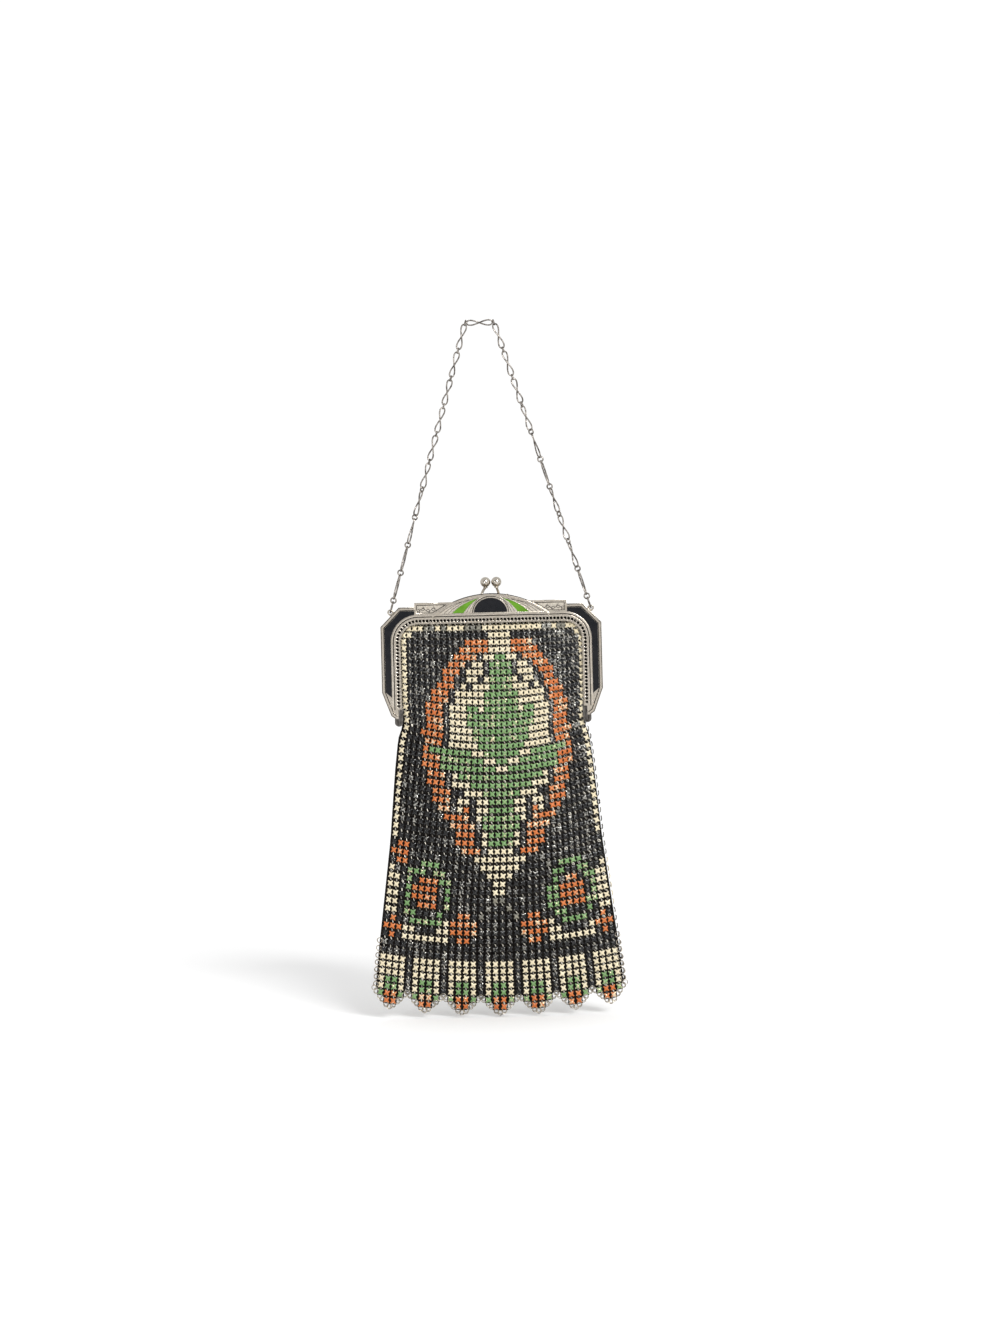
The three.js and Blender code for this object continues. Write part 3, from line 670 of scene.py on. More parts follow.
def star_template():
    """Points of one plate about its centre, with its faces and which of them are bare steel."""
    angles = np.radians([quarter * 90 + angle for quarter in range(4) for angle in STAR_ANGLES])
    reach = np.tile(STAR_REACH, 4)
    x = reach * np.cos(angles) * PLATE_WIDTH / 2
    z = reach * np.sin(angles) * PLATE_HEIGHT / 2
    drop = np.where(reach > 1, -ARM_DROP, 0)
    count = len(angles)
    rings = [
        np.stack([x * DOME_SHARE, z * DOME_SHARE, np.full(count, DOME_RISE)], 1),
        np.stack([x, z, drop], 1),
        np.stack([x * 0.94, z * 0.94, drop - SKIRT], 1),
    ]
    points = np.concatenate([[(0, 0, DOME_TOP)], *rings])
    faces, steel = [], []
    for i in range(count):
        j = (i + 1) % count
        faces.append((0, 1 + i, 1 + j))
        steel.append(False)
        for ring in range(2):
            a, b = 1 + ring * count, 1 + (ring + 1) * count
            faces.append((a + i, b + i, b + j, a + j))
            steel.append(ring == 1)
    return points, faces, steel


# %% [markdown]
# Thousands of plates and rings are laid by sums over whole arrays, so that the bag is made in a
# moment. The same wall, turned half round, is the back of the purse.

# %% Lay copies of a small part on the wall
def lay_copies(template, places, across, up, out, tilt, lift=0.0):
    """Copies of the template's points, each tilted at random by up to about tilt radians."""
    count = len(places)
    turns = dice.normal(0, tilt, (count, 3))
    px, pz, ph = template[:, 0], template[:, 1], template[:, 2]
    x = px + turns[:, :1] * ph - turns[:, 2:] * pz
    z = pz + turns[:, 1:2] * ph + turns[:, 2:] * px
    h = ph - turns[:, :1] * px - turns[:, 1:2] * pz + lift
    spread = x[..., None] * across[:, None] + z[..., None] * up[:, None] + h[..., None] * out[:, None]
    return (places[:, None] + spread).reshape(-1, 3)


def repeat_faces(faces, size, count):
    steps = np.arange(count) * size
    made = []
    for face in faces:
        made.append((np.array(face)[None] + steps[:, None]).tolist())
    return [face for copy in zip(*made) for face in copy]


def turn_round(points):
    """The back wall is the front one turned half round the upright axis."""
    return points * np.array([-1, -1, 1])


def plates_mesh(with_sides):
    """The plates of one wall. The last column at each side is shared by both walls and faces aside."""
    chart = [plate for plate in PLATES if abs(plate[0]) < 17 or (with_sides and plate[1] > 13)]
    columns, rows, colours = (np.array(values, float) for values in zip(*chart))
    points, faces, steel = star_template()
    place, across, up, out = wall_frame(columns, rows + 0.5)
    aside = np.abs(columns) > 17
    side = np.sign(columns[aside])[:, None]
    place[aside, 1] = 0
    out[aside] = side * (1, 0, 0)
    across[aside] = side * (0, 1, 0)
    up[aside] = (0, 0, 1)
    laid = lay_copies(points, place, across, up, out, tilt=0.085)
    worn = dice.random((len(chart), len(faces))) < 0.35
    finish = np.where(np.array(steel)[None] & worn, STEEL, colours[:, None].astype(int))
    return laid, repeat_faces(faces, len(points), len(columns)), finish.ravel()


for side_name, turn in (("front", None), ("back", turn_round)):
    laid, faces, finish = plates_mesh(turn is None)
    mesh = mesh_of((turn(laid) if turn else laid) + SHOULDERS, faces, PLATE_FINISHES, finish)
    add_piece(mesh, f"mesh_plates_{side_name}", "mesh_enamel", "mesh_bag", crisp=60)

# %% [markdown]
# Rings hold the plates together. From the front each one shows as a short bright stroke between two
# rows, half way along a plate, because the ring stands on edge and leans. Open rings also edge the
# sides and the tabs, and one hangs at each tip.

# %% Rings between the plates
LINK_RADIUS, LINK_WIRE, LINK_LEAN = 0.66, 0.2, -0.35
EDGE_RADIUS, EDGE_WIRE = 1.1, 0.18


def small_ring(radius, wire, steps=10, sides=4):
    a = 2 * math.pi * np.arange(steps) / steps
    circle = np.column_stack([radius * np.cos(a), radius * np.sin(a), 0 * a])
    return bend_wire(circle, wire, sides, closed=True)


def ring_on_edge(radius, wire):
    """A ring that stands on edge, leaning, so that it shows as a stroke."""
    points, faces = small_ring(radius, wire)
    c, s = math.cos(LINK_LEAN), math.sin(LINK_LEAN)
    across, up, out = points[:, 0] * 0.25, points[:, 1], points[:, 0] * 0.95 + points[:, 2] * 0.2
    across = across + points[:, 2]
    return np.column_stack([c * across + s * up, c * up - s * across, out]), faces


def link_places():
    charted = {(column, row) for column, row, _ in PLATES if abs(column) < 17}
    return np.array([(c, r + 1) for c, r in sorted(charted) if (c, r + 1) in charted])


def edge_places():
    """Grid places of the open rings: down both sides, and along the free edges of the tabs."""
    charted = {(column, row) for column, row, _ in PLATES}
    places = [(side * 17.3, row + 0.5) for side in (-1, 1) for row in range(BODY_ROWS - 2, BODY_ROWS + 5)]
    for c, r in sorted(charted):
        if r >= BODY_ROWS and (c, r + 1) not in charted:
            places.append((c, r + 1.12))
        for side in (-1, 1):
            if r >= BODY_ROWS + GAP_ROWS and (c + side, r) not in charted:
                places.append((min(max(c + 0.62 * side, -17.4), 17.4), r + 0.5))
    tips = [(tab * TAB_COLUMNS - 15, BODY_ROWS + len(TAB_CHART) + 0.35) for tab in range(7)]
    return np.array(places + tips)


def laid_rings(template, places, tilt, lift):
    points, faces = template
    place, across, up, out = wall_frame(places[:, 0], places[:, 1])
    laid = lay_copies(points, place, across, up, out, tilt, lift)
    return laid, repeat_faces(faces, len(points), len(places))


for side_name, turn in (("front", None), ("back", turn_round)):
    rings = Batch()
    rings.add(laid_rings(ring_on_edge(LINK_RADIUS, LINK_WIRE), link_places(), 0.14, -0.1), 0)
    rings.add(laid_rings(small_ring(EDGE_RADIUS, EDGE_WIRE, 14, 5), edge_places(), 0.2, -0.1), 1)
    add_piece(rings.mesh([link_glint_shade, ring_steel], turn, SHOULDERS), f"mesh_rings_{side_name}",
              "dark_silver", "mesh_bag", crisp=ROUND_CRISP)

# %% [markdown]
# Behind the plates a thin web stands for their bent-back arms, and it closes the bag. It is coloured
# near black as painted shade, so that its gaps look black, as on the real purse.

# %% The web of painted shade behind the plates
WEB_DEPTH, WEB_WALL = 0.62, 0.5


def web_mesh(turn):
    keys = sorted({(c + dc, r + dr) for c, r, _ in PLATES for dc in (-0.5, 0.5) for dr in (0, 1)})
    index = {key: i for i, key in enumerate(keys)}
    corner = np.array(keys)
    place, _, _, out = wall_frame(np.clip(corner[:, 0], -17.3, 17.3), corner[:, 1])
    front, back = place - out * WEB_DEPTH, place - out * (WEB_DEPTH + WEB_WALL)
    count = len(keys)
    faces = []
    edges = {}
    for c, r, _ in PLATES:
        a, b = index[(c - 0.5, r)], index[(c + 0.5, r)]
        d, e = index[(c - 0.5, r + 1)], index[(c + 0.5, r + 1)]
        faces += [(a, d, e, b), (a + count, b + count, e + count, d + count)]
        for first, second in ((a, d), (d, e), (e, b), (b, a)):
            edges[(first, second)] = edges.get((second, first), 0) + 1
            if edges.pop((second, first), None) is not None:
                edges.pop((first, second))
    faces += [(first, first + count, second + count, second) for first, second in edges]
    return mesh_of(turn(np.concatenate([front, back])) + SHOULDERS, faces, [painted_shade_black])


for side_name, turn in (("front", np.asarray), ("back", turn_round)):
    add_piece(web_mesh(turn), f"mesh_web_{side_name}", "dark_silver", "mesh_bag")

# %% [markdown]
# ## The frame
# One half of the frame is drawn flat, as the die cutter would have drawn it, with heights counted
# from the shoulders. The right side is drawn and the left mirrored. The back half is the front one
# turned half round.

# %% Lines of the frame
HALF_WIDTH, FACE, SHEET, RELIEF_HEIGHT = 50.3, -5.3, 0.9, 0.35
PARTING = -0.15
STEP_X, STEP_RISE = 34.7, 1.9
CHAMFER = (8.5, 8.7)
TIP_DOWN, TIP_WIDTH, FOOT_DOWN, FOOT_WIDTH, SIDE_END, RIM_END, LEG = 50.7, 6.0, 49.3, 4.0, 38.6, 46.6, 1.3
ARCH_CHORD, ARCH_RISE, ARCH_DROP, ARCH_BORDER = 27.0, 9.4, 4.2, 1.0
ARCH_RADIUS = (ARCH_CHORD ** 2 + ARCH_RISE ** 2) / (2 * ARCH_RISE)
ARCH_CENTRE = ARCH_RISE - ARCH_DROP - ARCH_RADIUS
WINDOW_X, WINDOW_DROP, WINDOW_RADIUS, RIM = 41.4, 7.8, 8.0, 4.3
BORDER, ENAMEL_SLANT = 1.7, 2.4


def arc(centre, radius, start, end, steps):
    angles = np.radians(np.linspace(start, end, steps + 1))
    return np.column_stack([centre[0] + radius * np.cos(angles), centre[1] + radius * np.sin(angles)])


def mirrored(line):
    return (np.asarray(line) * (-1, 1))[::-1]


def inset(line, distance, closed=False):
    """The line moved to its right, with mitred corners."""
    line = np.asarray(line, float)
    ends = np.vstack([line[-1:], line, line[:1]]) if closed else line
    along = np.diff(ends, axis=0)
    along /= np.linalg.norm(along, axis=1, keepdims=True)
    normal = np.column_stack([along[:, 1], -along[:, 0]])
    before = normal[:-1] if closed else np.vstack([normal[:1], normal])
    after = normal[1:] if closed else np.vstack([normal, normal[-1:]])
    middle = before + after
    middle /= np.linalg.norm(middle, axis=1, keepdims=True)
    return line + middle * (distance / np.sum(middle * after, axis=1))[:, None]


def side_line():
    return np.array([
        (STEP_X, 0), (HALF_WIDTH - CHAMFER[0], 0), (HALF_WIDTH, -CHAMFER[1]), (HALF_WIDTH, -SIDE_END),
        (HALF_WIDTH - FOOT_WIDTH, -FOOT_DOWN), (HALF_WIDTH - TIP_WIDTH, -TIP_DOWN)])


def arch_line(radius=ARCH_RADIUS, low=-ARCH_DROP, steps=36):
    reach = math.degrees(math.acos((low - ARCH_CENTRE) / radius))
    return arc((0, ARCH_CENTRE), radius, 90 + reach, 90 - reach, steps)


def arch_top(x, margin=0.0):
    return ARCH_CENTRE + math.sqrt((ARCH_RADIUS - margin) ** 2 - x ** 2)


def outer_line():
    right = np.vstack([[(STEP_X, STEP_RISE)], side_line()])
    return np.vstack([mirrored(right), arch_line(low=STEP_RISE), right])


def window_line(margin, low=RIM_END):
    half, radius = WINDOW_X + margin, WINDOW_RADIUS + margin
    corner = arc((half - radius, margin - WINDOW_DROP - radius), radius, 90, 0, 12)
    right = np.vstack([corner, [(half, -low)]])
    return np.vstack([mirrored(right), right])


def band(outer, inner):
    return np.vstack([outer, inner[::-1]])


def spaced(line, count):
    """Places at even steps along a line, without its ends."""
    steps = np.concatenate([[0], np.cumsum(np.linalg.norm(np.diff(line, axis=0), axis=1))])
    at = np.linspace(0, steps[-1], count + 2)[1:-1]
    return np.column_stack([np.interp(at, steps, line[:, 0]), np.interp(at, steps, line[:, 1])])


# %% [markdown]
# The face is pierced all along its rim, and a raised line runs round outside the holes. The borders
# of the side fields, the arch and the two blocks beside it stand proud of the face. Thin walls of
# silver, which enamellers call cloisons, keep the green stripes apart from the engraved ground.
# Thin near-black bands along the edges of these raised parts are painted shade, and so is the
# near-black sheet behind the holes.

# %% The stamped half
BRIGHT, PUNCHED, PAINTED_SHADE, HINGE = range(4)
HOLE_COUNT, HOLE_RADIUS, HOLE_INSET = 97, 0.68, 1.4
DOME_HALF, DOME_RISE_MM = 7.6, 6.7
ARCH_BASE = ARCH_BORDER - ARCH_DROP
RAISED, SUNK = FACE - RELIEF_HEIGHT, FACE + SHEET / 2


def bowed(foot, top, bow_x=0.62, bow_h=0.7, steps=14):
    """A curved line from the base of the arch up towards its top."""
    t = np.linspace(0, 1, steps + 1)[:, None]
    start, end = np.array([foot, ARCH_BASE]), np.array(top)
    bend = np.array([top[0] + (foot - top[0]) * bow_x, ARCH_BASE + (top[1] - ARCH_BASE) * bow_h])
    return (1 - t) ** 2 * start + 2 * t * (1 - t) * bend + t ** 2 * end


def stripe_outline():
    point = (5.2, ARCH_BASE + DOME_RISE_MM)
    outer, inner = bowed(17.5, point), bowed(12.4, point, bow_h=0.6)
    return np.vstack([outer, inner[::-1][1:]])


def dome_outline(grow=0.0):
    unit = arc((0, 0), 1, 0, 180, 40)
    return unit * (DOME_HALF + grow, DOME_RISE_MM + grow) + (0, ARCH_BASE)


def side_panel_outline(gap=0.08):
    outer = inset(side_line(), BORDER + gap)
    inner_x, radius = WINDOW_X + RIM + gap, WINDOW_RADIUS + RIM + gap
    centre = (inner_x - radius, RIM + gap - WINDOW_DROP - radius)
    end = math.degrees(math.acos((STEP_X + gap - centre[0]) / radius))
    corner = arc(centre, radius, 0, end, 16)
    return np.vstack([[(STEP_X + gap, -BORDER - gap)], outer[1:3], [(outer[2, 0], -SIDE_END)],
                      [(inner_x, -SIDE_END - ENAMEL_SLANT)], corner])


def block_outline():
    low = RIM - WINDOW_DROP - 0.4
    at_top = math.sqrt(ARCH_RADIUS ** 2 - (STEP_RISE - ARCH_CENTRE) ** 2) - 0.4
    at_low = math.sqrt(ARCH_RADIUS ** 2 - (low - ARCH_CENTRE) ** 2) - 0.4
    return np.array([(at_top, STEP_RISE), (STEP_X, STEP_RISE), (STEP_X, low), (at_low, low)])


def curl(centre, radius, turns, start, hand):
    """A scroll that winds inwards, on the ground of a sunk panel."""
    t = np.linspace(0, 1, 40)
    angle = start + hand * 2 * math.pi * turns * t
    reach = radius * (1 - 0.8 * t)
    return np.column_stack([centre[0] + reach * np.cos(angle), np.full(40, FACE - 0.05),
                            centre[1] + reach * np.sin(angle)])


def block_scrolls():
    """Four curls and a stem, for the panel right of the arch."""
    parts = []
    for x, hand in ((26.2, 1), (28.6, -1), (31.0, 1), (33.0, -1)):
        parts.append(curl((x, -1.4 + 0.35 * hand), 1.05, 1.2, hand * math.pi / 2, hand))
    x = np.linspace(24.8, 33.6, 40)
    stem = np.column_stack([x, np.full(40, FACE - 0.03), -1.4 + 0.75 * np.sin((x - 24.8) * 1.3)])
    return [bend_wire(line, 0.16, 6, up=(0, 1, 0)) for line in (*parts, stem)]


def both_sides(outlines):
    return [outlines, [mirrored(line) for line in outlines]]


def flip(part):
    """The mirror image of a part on the left of the frame."""
    points, faces = part
    return points * (-1, 1, 1), [tuple(face)[::-1] for face in faces]


def stamped_half():
    half = Batch()
    leg = HALF_WIDTH - TIP_WIDTH - LEG
    left, right = [(-leg, -TIP_DOWN), (-leg, -RIM_END)], [(leg, -RIM_END), (leg, -TIP_DOWN)]
    inner = np.vstack([left, window_line(0), right])
    holes = [arc(place, HOLE_RADIUS, 0, 330, 11) for place in spaced(window_line(HOLE_INSET), HOLE_COUNT)]
    half.add(cut_sheet([band(outer_line(), inner), *holes], FACE, FACE + SHEET), BRIGHT)
    half.add(cut_sheet([band(outer_line(), inset(outer_line(), SHEET))], FACE, PARTING), BRIGHT)
    half.add(cut_sheet([band(window_line(RIM), window_line(RIM - 0.9))], RAISED, SUNK, 0.3), BRIGHT)
    half.add(cut_sheet([band(window_line(2.85), window_line(2.4))], FACE - 0.2, SUNK), BRIGHT)
    # Painted shade: a near-black line inside the raised rim line.
    half.add(cut_sheet([band(window_line(3.36), window_line(3.0))], FACE - 0.03, SUNK, 0.01), PAINTED_SHADE)
    # Painted shade: a near-black sheet behind the holes, so that they look dark.
    backing = band(window_line(2.3), window_line(0.5))
    half.add(cut_sheet([backing], FACE + SHEET + 0.2, FACE + SHEET + 0.4), PAINTED_SHADE)
    arch = arch_line()
    half.add(cut_sheet([band(arch, inset(arch, ARCH_BORDER))], RAISED - 0.25, SUNK, 0.16), BRIGHT)
    base = [(-ARCH_CHORD, -ARCH_DROP), (ARCH_BORDER - ARCH_CHORD, ARCH_BASE),
            (ARCH_CHORD - ARCH_BORDER, ARCH_BASE), (ARCH_CHORD, -ARCH_DROP)]
    half.add(cut_sheet([base], RAISED - 0.15, SUNK, 0.16), BRIGHT)
    ground = inset(arch_line(low=ARCH_BASE + 0.3), ARCH_BORDER - 0.1)
    half.add(cut_sheet([ground], FACE - 0.14, SUNK, 0.04), PUNCHED)
    # Painted shade: a near-black line along the outer edge of the arch.
    half.add(cut_sheet([band(inset(arch, -0.35), inset(arch, 0.1))], FACE - 0.05, SUNK, 0.02), PAINTED_SHADE)
    half.add(cut_sheet([dome_outline(0.45), dome_outline(0.05)], RAISED, SUNK), BRIGHT)
    # Painted shade: a near-black ring round the dome's border.
    half.add(cut_sheet([dome_outline(0.78), dome_outline(0.44)], FACE - 0.17, SUNK, 0.02), PAINTED_SHADE)
    for outlines in both_sides([band(side_line(), inset(side_line(), BORDER))]):
        half.add(cut_sheet(outlines, RAISED + 0.15, SUNK, 0.14), BRIGHT)
    # Painted shade: near-black lines beside the border of each side field.
    for near, far in ((0.12, 0.4), (1.3, 1.66)):
        for outlines in both_sides([band(inset(side_line(), near), inset(side_line(), far))]):
            half.add(cut_sheet(outlines, RAISED + 0.12, SUNK, 0.02), PAINTED_SHADE)
    stripe = stripe_outline()
    for outlines in both_sides([inset(stripe, 0.35, closed=True), inset(stripe, 0.02, closed=True)]):
        half.add(cut_sheet(outlines, RAISED, SUNK, 0.06), BRIGHT)
    # Painted shade: a near-black line round each stripe's cloison.
    for outlines in both_sides([inset(stripe, -0.3, closed=True), inset(stripe, 0.03, closed=True)]):
        half.add(cut_sheet(outlines, FACE - 0.18, SUNK, 0.02), PAINTED_SHADE)
    block = block_outline()
    panel = inset(block, ARCH_BORDER, closed=True)
    for outlines in both_sides([block, panel]):
        half.add(cut_sheet(outlines, RAISED, SUNK), BRIGHT)
    # Painted shade: a near-black line round the inside of each block's border.
    for outlines in both_sides([inset(panel, -0.05, closed=True), inset(panel, 0.3, closed=True)]):
        half.add(cut_sheet(outlines, FACE - 0.09, SUNK, 0.02), PAINTED_SHADE)
    for outlines in both_sides([inset(panel, -0.1, closed=True)]):
        half.add(cut_sheet(outlines, FACE - 0.06, SUNK, 0.03), PUNCHED)
    ledge = [(24, STEP_RISE), (STEP_X, STEP_RISE), (STEP_X, STEP_RISE - 0.9), (24, STEP_RISE - 0.9)]
    for outlines in both_sides([np.array(ledge)]):
        half.add(cut_sheet(outlines, RAISED - 0.25, SUNK, 0.16), BRIGHT)
    for part in block_scrolls():
        half.add(part, HINGE)
        half.add(flip(part), HINGE)
    for foot, top in ((9.6, 4.6), (11.0, 4.9), (19.2, 7.2), (21.2, 9.6), (23.2, 12.4)):
        ray = bowed(foot, (top, arch_top(top, 1.3)))
        line = np.column_stack([ray[:, 0], np.full(len(ray), FACE - 0.14), ray[:, 1]])
        rib = bend_wire(line, 0.12, 6, up=(0, 1, 0))
        half.add(rib, HINGE)
        half.add(flip(rib), HINGE)
    return half


# %% [markdown]
# The mesh is sewn to the frame with one long spiral of wire, which goes through every hole and
# round the inner edge of the rim.

# %% The sewing coil
COIL_MARGIN, COIL_REACH, COIL_DEPTH, COIL_WIRE = 0.2, 0.75, 0.75, 0.15


def sewing_coil(points_a_turn=12):
    count = (HOLE_COUNT + 1) * points_a_turn
    path = spaced(window_line(COIL_MARGIN), count)
    along = np.gradient(path, axis=0)
    along /= np.linalg.norm(along, axis=1, keepdims=True)
    outward = np.column_stack([-along[:, 1], along[:, 0]])
    turn = np.arange(count) / points_a_turn * 2 * math.pi
    reach = COIL_REACH * np.cos(turn)[:, None] * outward
    depth = FACE + SHEET / 2 - COIL_DEPTH * np.sin(turn)
    line = np.column_stack([path[:, 0] + reach[:, 0], depth, path[:, 1] + reach[:, 1]])
    axis = np.column_stack([along[:, 0], np.zeros(count), along[:, 1]])
    return bend_wire(line, COIL_WIRE, 5, up=axis)


# %% [markdown]
# At the feet the two halves turn on rivets. Each half has a round ear there, on an arm behind its
# foot. The back half also carries the two eyes that the chain hangs in.

# %% Ears, rivets and eyes
PIN_DOWN, EAR_RADIUS, EAR_THICK, EAR_X = 52.3, 1.8, 0.65, 42.4
EAR_STEP = EAR_THICK + 0.3
LUG_X, LUG_H, LUG_Y, LUG_RADIUS, LUG_HOLE = 45.848, -1.998, 0.6, 1.4, 0.7
ALONG_X = np.array([[0, 0, 1], [0, 1, 0], [-1, 0, 0]])


def rounded_disc(radius, thick, edge=0.12):
    return [(0.02, 0), (radius - edge, 0), (radius, edge), (radius, thick - edge), (radius - edge, thick),
            (0.02, thick)]


def ear(inner_x):
    disc = placed(turn_on_lathe(rounded_disc(EAR_RADIUS, EAR_THICK)), (inner_x, 0, -PIN_DOWN), ALONG_X)
    arm = [(inner_x, -RIM_END), (inner_x + EAR_THICK, -RIM_END), (inner_x + EAR_THICK, -PIN_DOWN - 0.9),
           (inner_x, -PIN_DOWN - 0.9)]
    return disc, cut_sheet([np.array(arm)], FACE, 0)


def strap():
    """A dark plate behind the foot, down to the knuckle."""
    low = arc((EAR_X + 0.5, -PIN_DOWN), 1.9, 180, 360, 14)
    return cut_sheet([np.vstack([[(44.6, -45.0), (40.9, -45.0)][::-1], low[::-1]])], FACE + 1.0, FACE + 1.5)


def rivet():
    inner, outer = EAR_X - 0.3, EAR_X + 2 * EAR_THICK + 0.6
    head = ((0.02, -0.55), (0.8, -0.5), (1.25, -0.32), (1.5, 0.0))
    profile = [(r, inner + h) for r, h in head] + [(0.8, inner), (0.8, outer)]
    profile += [(r, outer - h) for r, h in head[::-1]]
    return placed(turn_on_lathe(profile), (0, 0, -PIN_DOWN), ALONG_X)


def chain_eye():
    tilt = math.atan2(CHAMFER[0], CHAMFER[1])
    across, along = np.array([math.cos(tilt), math.sin(tilt)]), np.array([-math.sin(tilt), math.cos(tilt)])
    rim = arc((0, 0), LUG_RADIUS, -90, 90, 20)
    shape = np.vstack([rim, [(-1.95, LUG_RADIUS), (-1.95, -LUG_RADIUS)]])
    outline = shape[:, :1] * across + shape[:, 1:] * along + (LUG_X, LUG_H)
    hole = arc((LUG_X, LUG_H), LUG_HOLE, 0, 345, 23)
    return cut_sheet([outline, hole], LUG_Y - 0.45, LUG_Y + 0.45)


FRAME_FINISHES = [frame_silver, punched_silver, painted_shade_black, hinge_steel]
for name, turn, first_ear in (("front", None, EAR_X), ("back", turn_round, EAR_X + EAR_STEP)):
    half = stamped_half()
    for part in (*ear(first_ear), strap()):
        half.add(part, HINGE)
        half.add(flip(part), HINGE)
    if name == "front":
        nub = [(0.7 * math.cos(a) + 0.02, 0.8 * math.sin(a)) for a in np.linspace(0, math.pi / 2, 8)]
        half.add(placed(turn_on_lathe(nub, 16), (7.8, FACE / 2, arch_top(7.8) - 0.1)), BRIGHT)
    else:
        eye = turn_round(chain_eye()[0]), chain_eye()[1]
        right = turn_round(flip(chain_eye())[0]), flip(chain_eye())[1]
        half.add(eye, BRIGHT)
        half.add(right, BRIGHT)
    add_piece(half.mesh(FRAME_FINISHES, turn, SHOULDERS), f"frame_half_{name}", "silver_frame",
              f"frame_{name}")
    coil = Batch()
    coil.add(sewing_coil())
    add_piece(coil.mesh([ring_steel], turn, SHOULDERS), f"sewing_coil_{name}", "dark_silver",
              f"frame_{name}", crisp=ROUND_CRISP)

for name, part in (("right", rivet()), ("left", flip(rivet()))):
    pin = Batch()
    pin.add(part)
    add_piece(pin.mesh([hinge_steel], None, SHOULDERS), f"rivet_{name}", "dark_silver", f"hinge_pin_{name}")

# %% [markdown]
# The enamel stands a little proud of its fields, as glass does that has drawn itself round at the
# edges in the kiln.

# %% Enamel inlays
GLASS_RISE = 0.32


def glass(outline, name, slot, finish, turn):
    inlay = Batch()
    inlay.add(cut_sheet([outline], FACE - GLASS_RISE, FACE + 0.1, 0.14))
    node = "enamel_" + name
    add_piece(inlay.mesh([finish], turn, SHOULDERS), "glass_" + name, slot, node, crisp=80)


for name, turn in (("front", None), ("back", turn_round)):
    sides = ("right", "left") if turn is None else ("left", "right")
    for side, facing in zip(sides, (np.asarray, mirrored)):
        glass(facing(side_panel_outline()), f"panel_{side}_{name}", "black_enamel", black_glaze, turn)
        glass(facing(stripe_outline()), f"stripe_{side}_{name}", "green_enamel", green_glaze, turn)
    glass(dome_outline(), f"dome_{name}", "black_enamel", black_glaze, turn)

# %% [markdown]
# The kiss-lock: two polished balls on bent stalks that snap past each other.

# %% Kiss-lock
BALL_RADIUS, BALL_H, BALL_SHIFT, STALK_RADIUS, STALK_FOOT = 2.35, 10.8, 0.4, 0.6, 3.9


def kiss_ball(side):
    ball_x = BALL_SHIFT + side * (BALL_RADIUS + 0.15)
    rim = [(BALL_RADIUS * math.sin(a) + 0.02, -BALL_RADIUS * math.cos(a))
           for a in np.linspace(0, math.pi, 25)]
    ball = Batch()
    ball.add(placed(turn_on_lathe(rim, 36), (ball_x, 0, BALL_H)))
    collar = [(0.02, -0.5), (0.95, -0.45), (1.05, 0.0), (0.8, 0.3), (0.02, 0.35)]
    ball.add(placed(turn_on_lathe(collar, 20), (ball_x, 0, BALL_H - BALL_RADIUS)))
    foot_h = arch_top(STALK_FOOT)
    stops = np.array([(side * STALK_FOOT, side * 2.65, foot_h - 0.2),
                      (side * STALK_FOOT, side * 2.65, foot_h + 1.3),
                      (ball_x, 0, BALL_H - 2.2 * BALL_RADIUS / 2), (ball_x, 0, BALL_H - BALL_RADIUS)])
    t = np.linspace(0, 1, 20)[:, None]
    line = ((1 - t) ** 3 * stops[0] + 3 * t * (1 - t) ** 2 * stops[1] + 3 * t ** 2 * (1 - t) * stops[2]
            + t ** 3 * stops[3])
    ball.add(bend_wire(line, STALK_RADIUS, 14, up=(0, 1, 0)))
    return ball.mesh([ball_silver], None, SHOULDERS)


add_piece(kiss_ball(-1), "kiss_ball_front", "silver_frame", "clasp_ball_front")
add_piece(kiss_ball(1), "kiss_ball_back", "silver_frame", "clasp_ball_back")

# %% [markdown]
# ## The chain
# Each link is one ring of wire, twisted once into a figure of eight, and small rings join them. On
# the way up the links turn about the chain, so some show their full figure and some only an edge.

# %% Links and rings
WIRE, LINK_LENGTH, LINK_WIDTH, SMALL_RING, END_RING = 0.7, 12.45, 3.0, 1.2, 2.6
LINK_REACH, END_REACH = 6.576, 5.647
LEG_TURNS = {-1: (90, 90, 80, 50, 20, 0, 10, 0, -10, 0), 1: (90, 50, 20, 50, 90, 70, 30, 0, 10, 0)}


def figure_eight(steps=56):
    a = 2 * math.pi * np.arange(steps) / steps
    line = np.column_stack([(LINK_LENGTH - WIRE) / 2 * np.cos(a), (LINK_WIDTH - WIRE) / 2 * np.sin(2 * a),
                            (WIRE + 0.1) / 2 * np.sin(a)])
    return bend_wire(line, WIRE / 2, 8, closed=True)


def wire_ring(radius, wire=WIRE / 2, steps=28, sides=8):
    a = 2 * math.pi * np.arange(steps) / steps
    circle = np.column_stack([radius * np.cos(a), radius * np.sin(a), 0 * a])
    return bend_wire(circle, wire, sides, closed=True)


def about(direction, turn):
    """Axes for a part drawn along x: its x runs along the direction and it is turned about it."""
    sideways = np.cross((0, 1, 0), direction)
    sideways /= np.linalg.norm(sideways)
    facing = np.cross(direction, sideways)
    c, s = math.cos(math.radians(turn)), math.sin(math.radians(turn))
    return np.column_stack([direction, c * sideways + s * facing, c * facing - s * sideways])


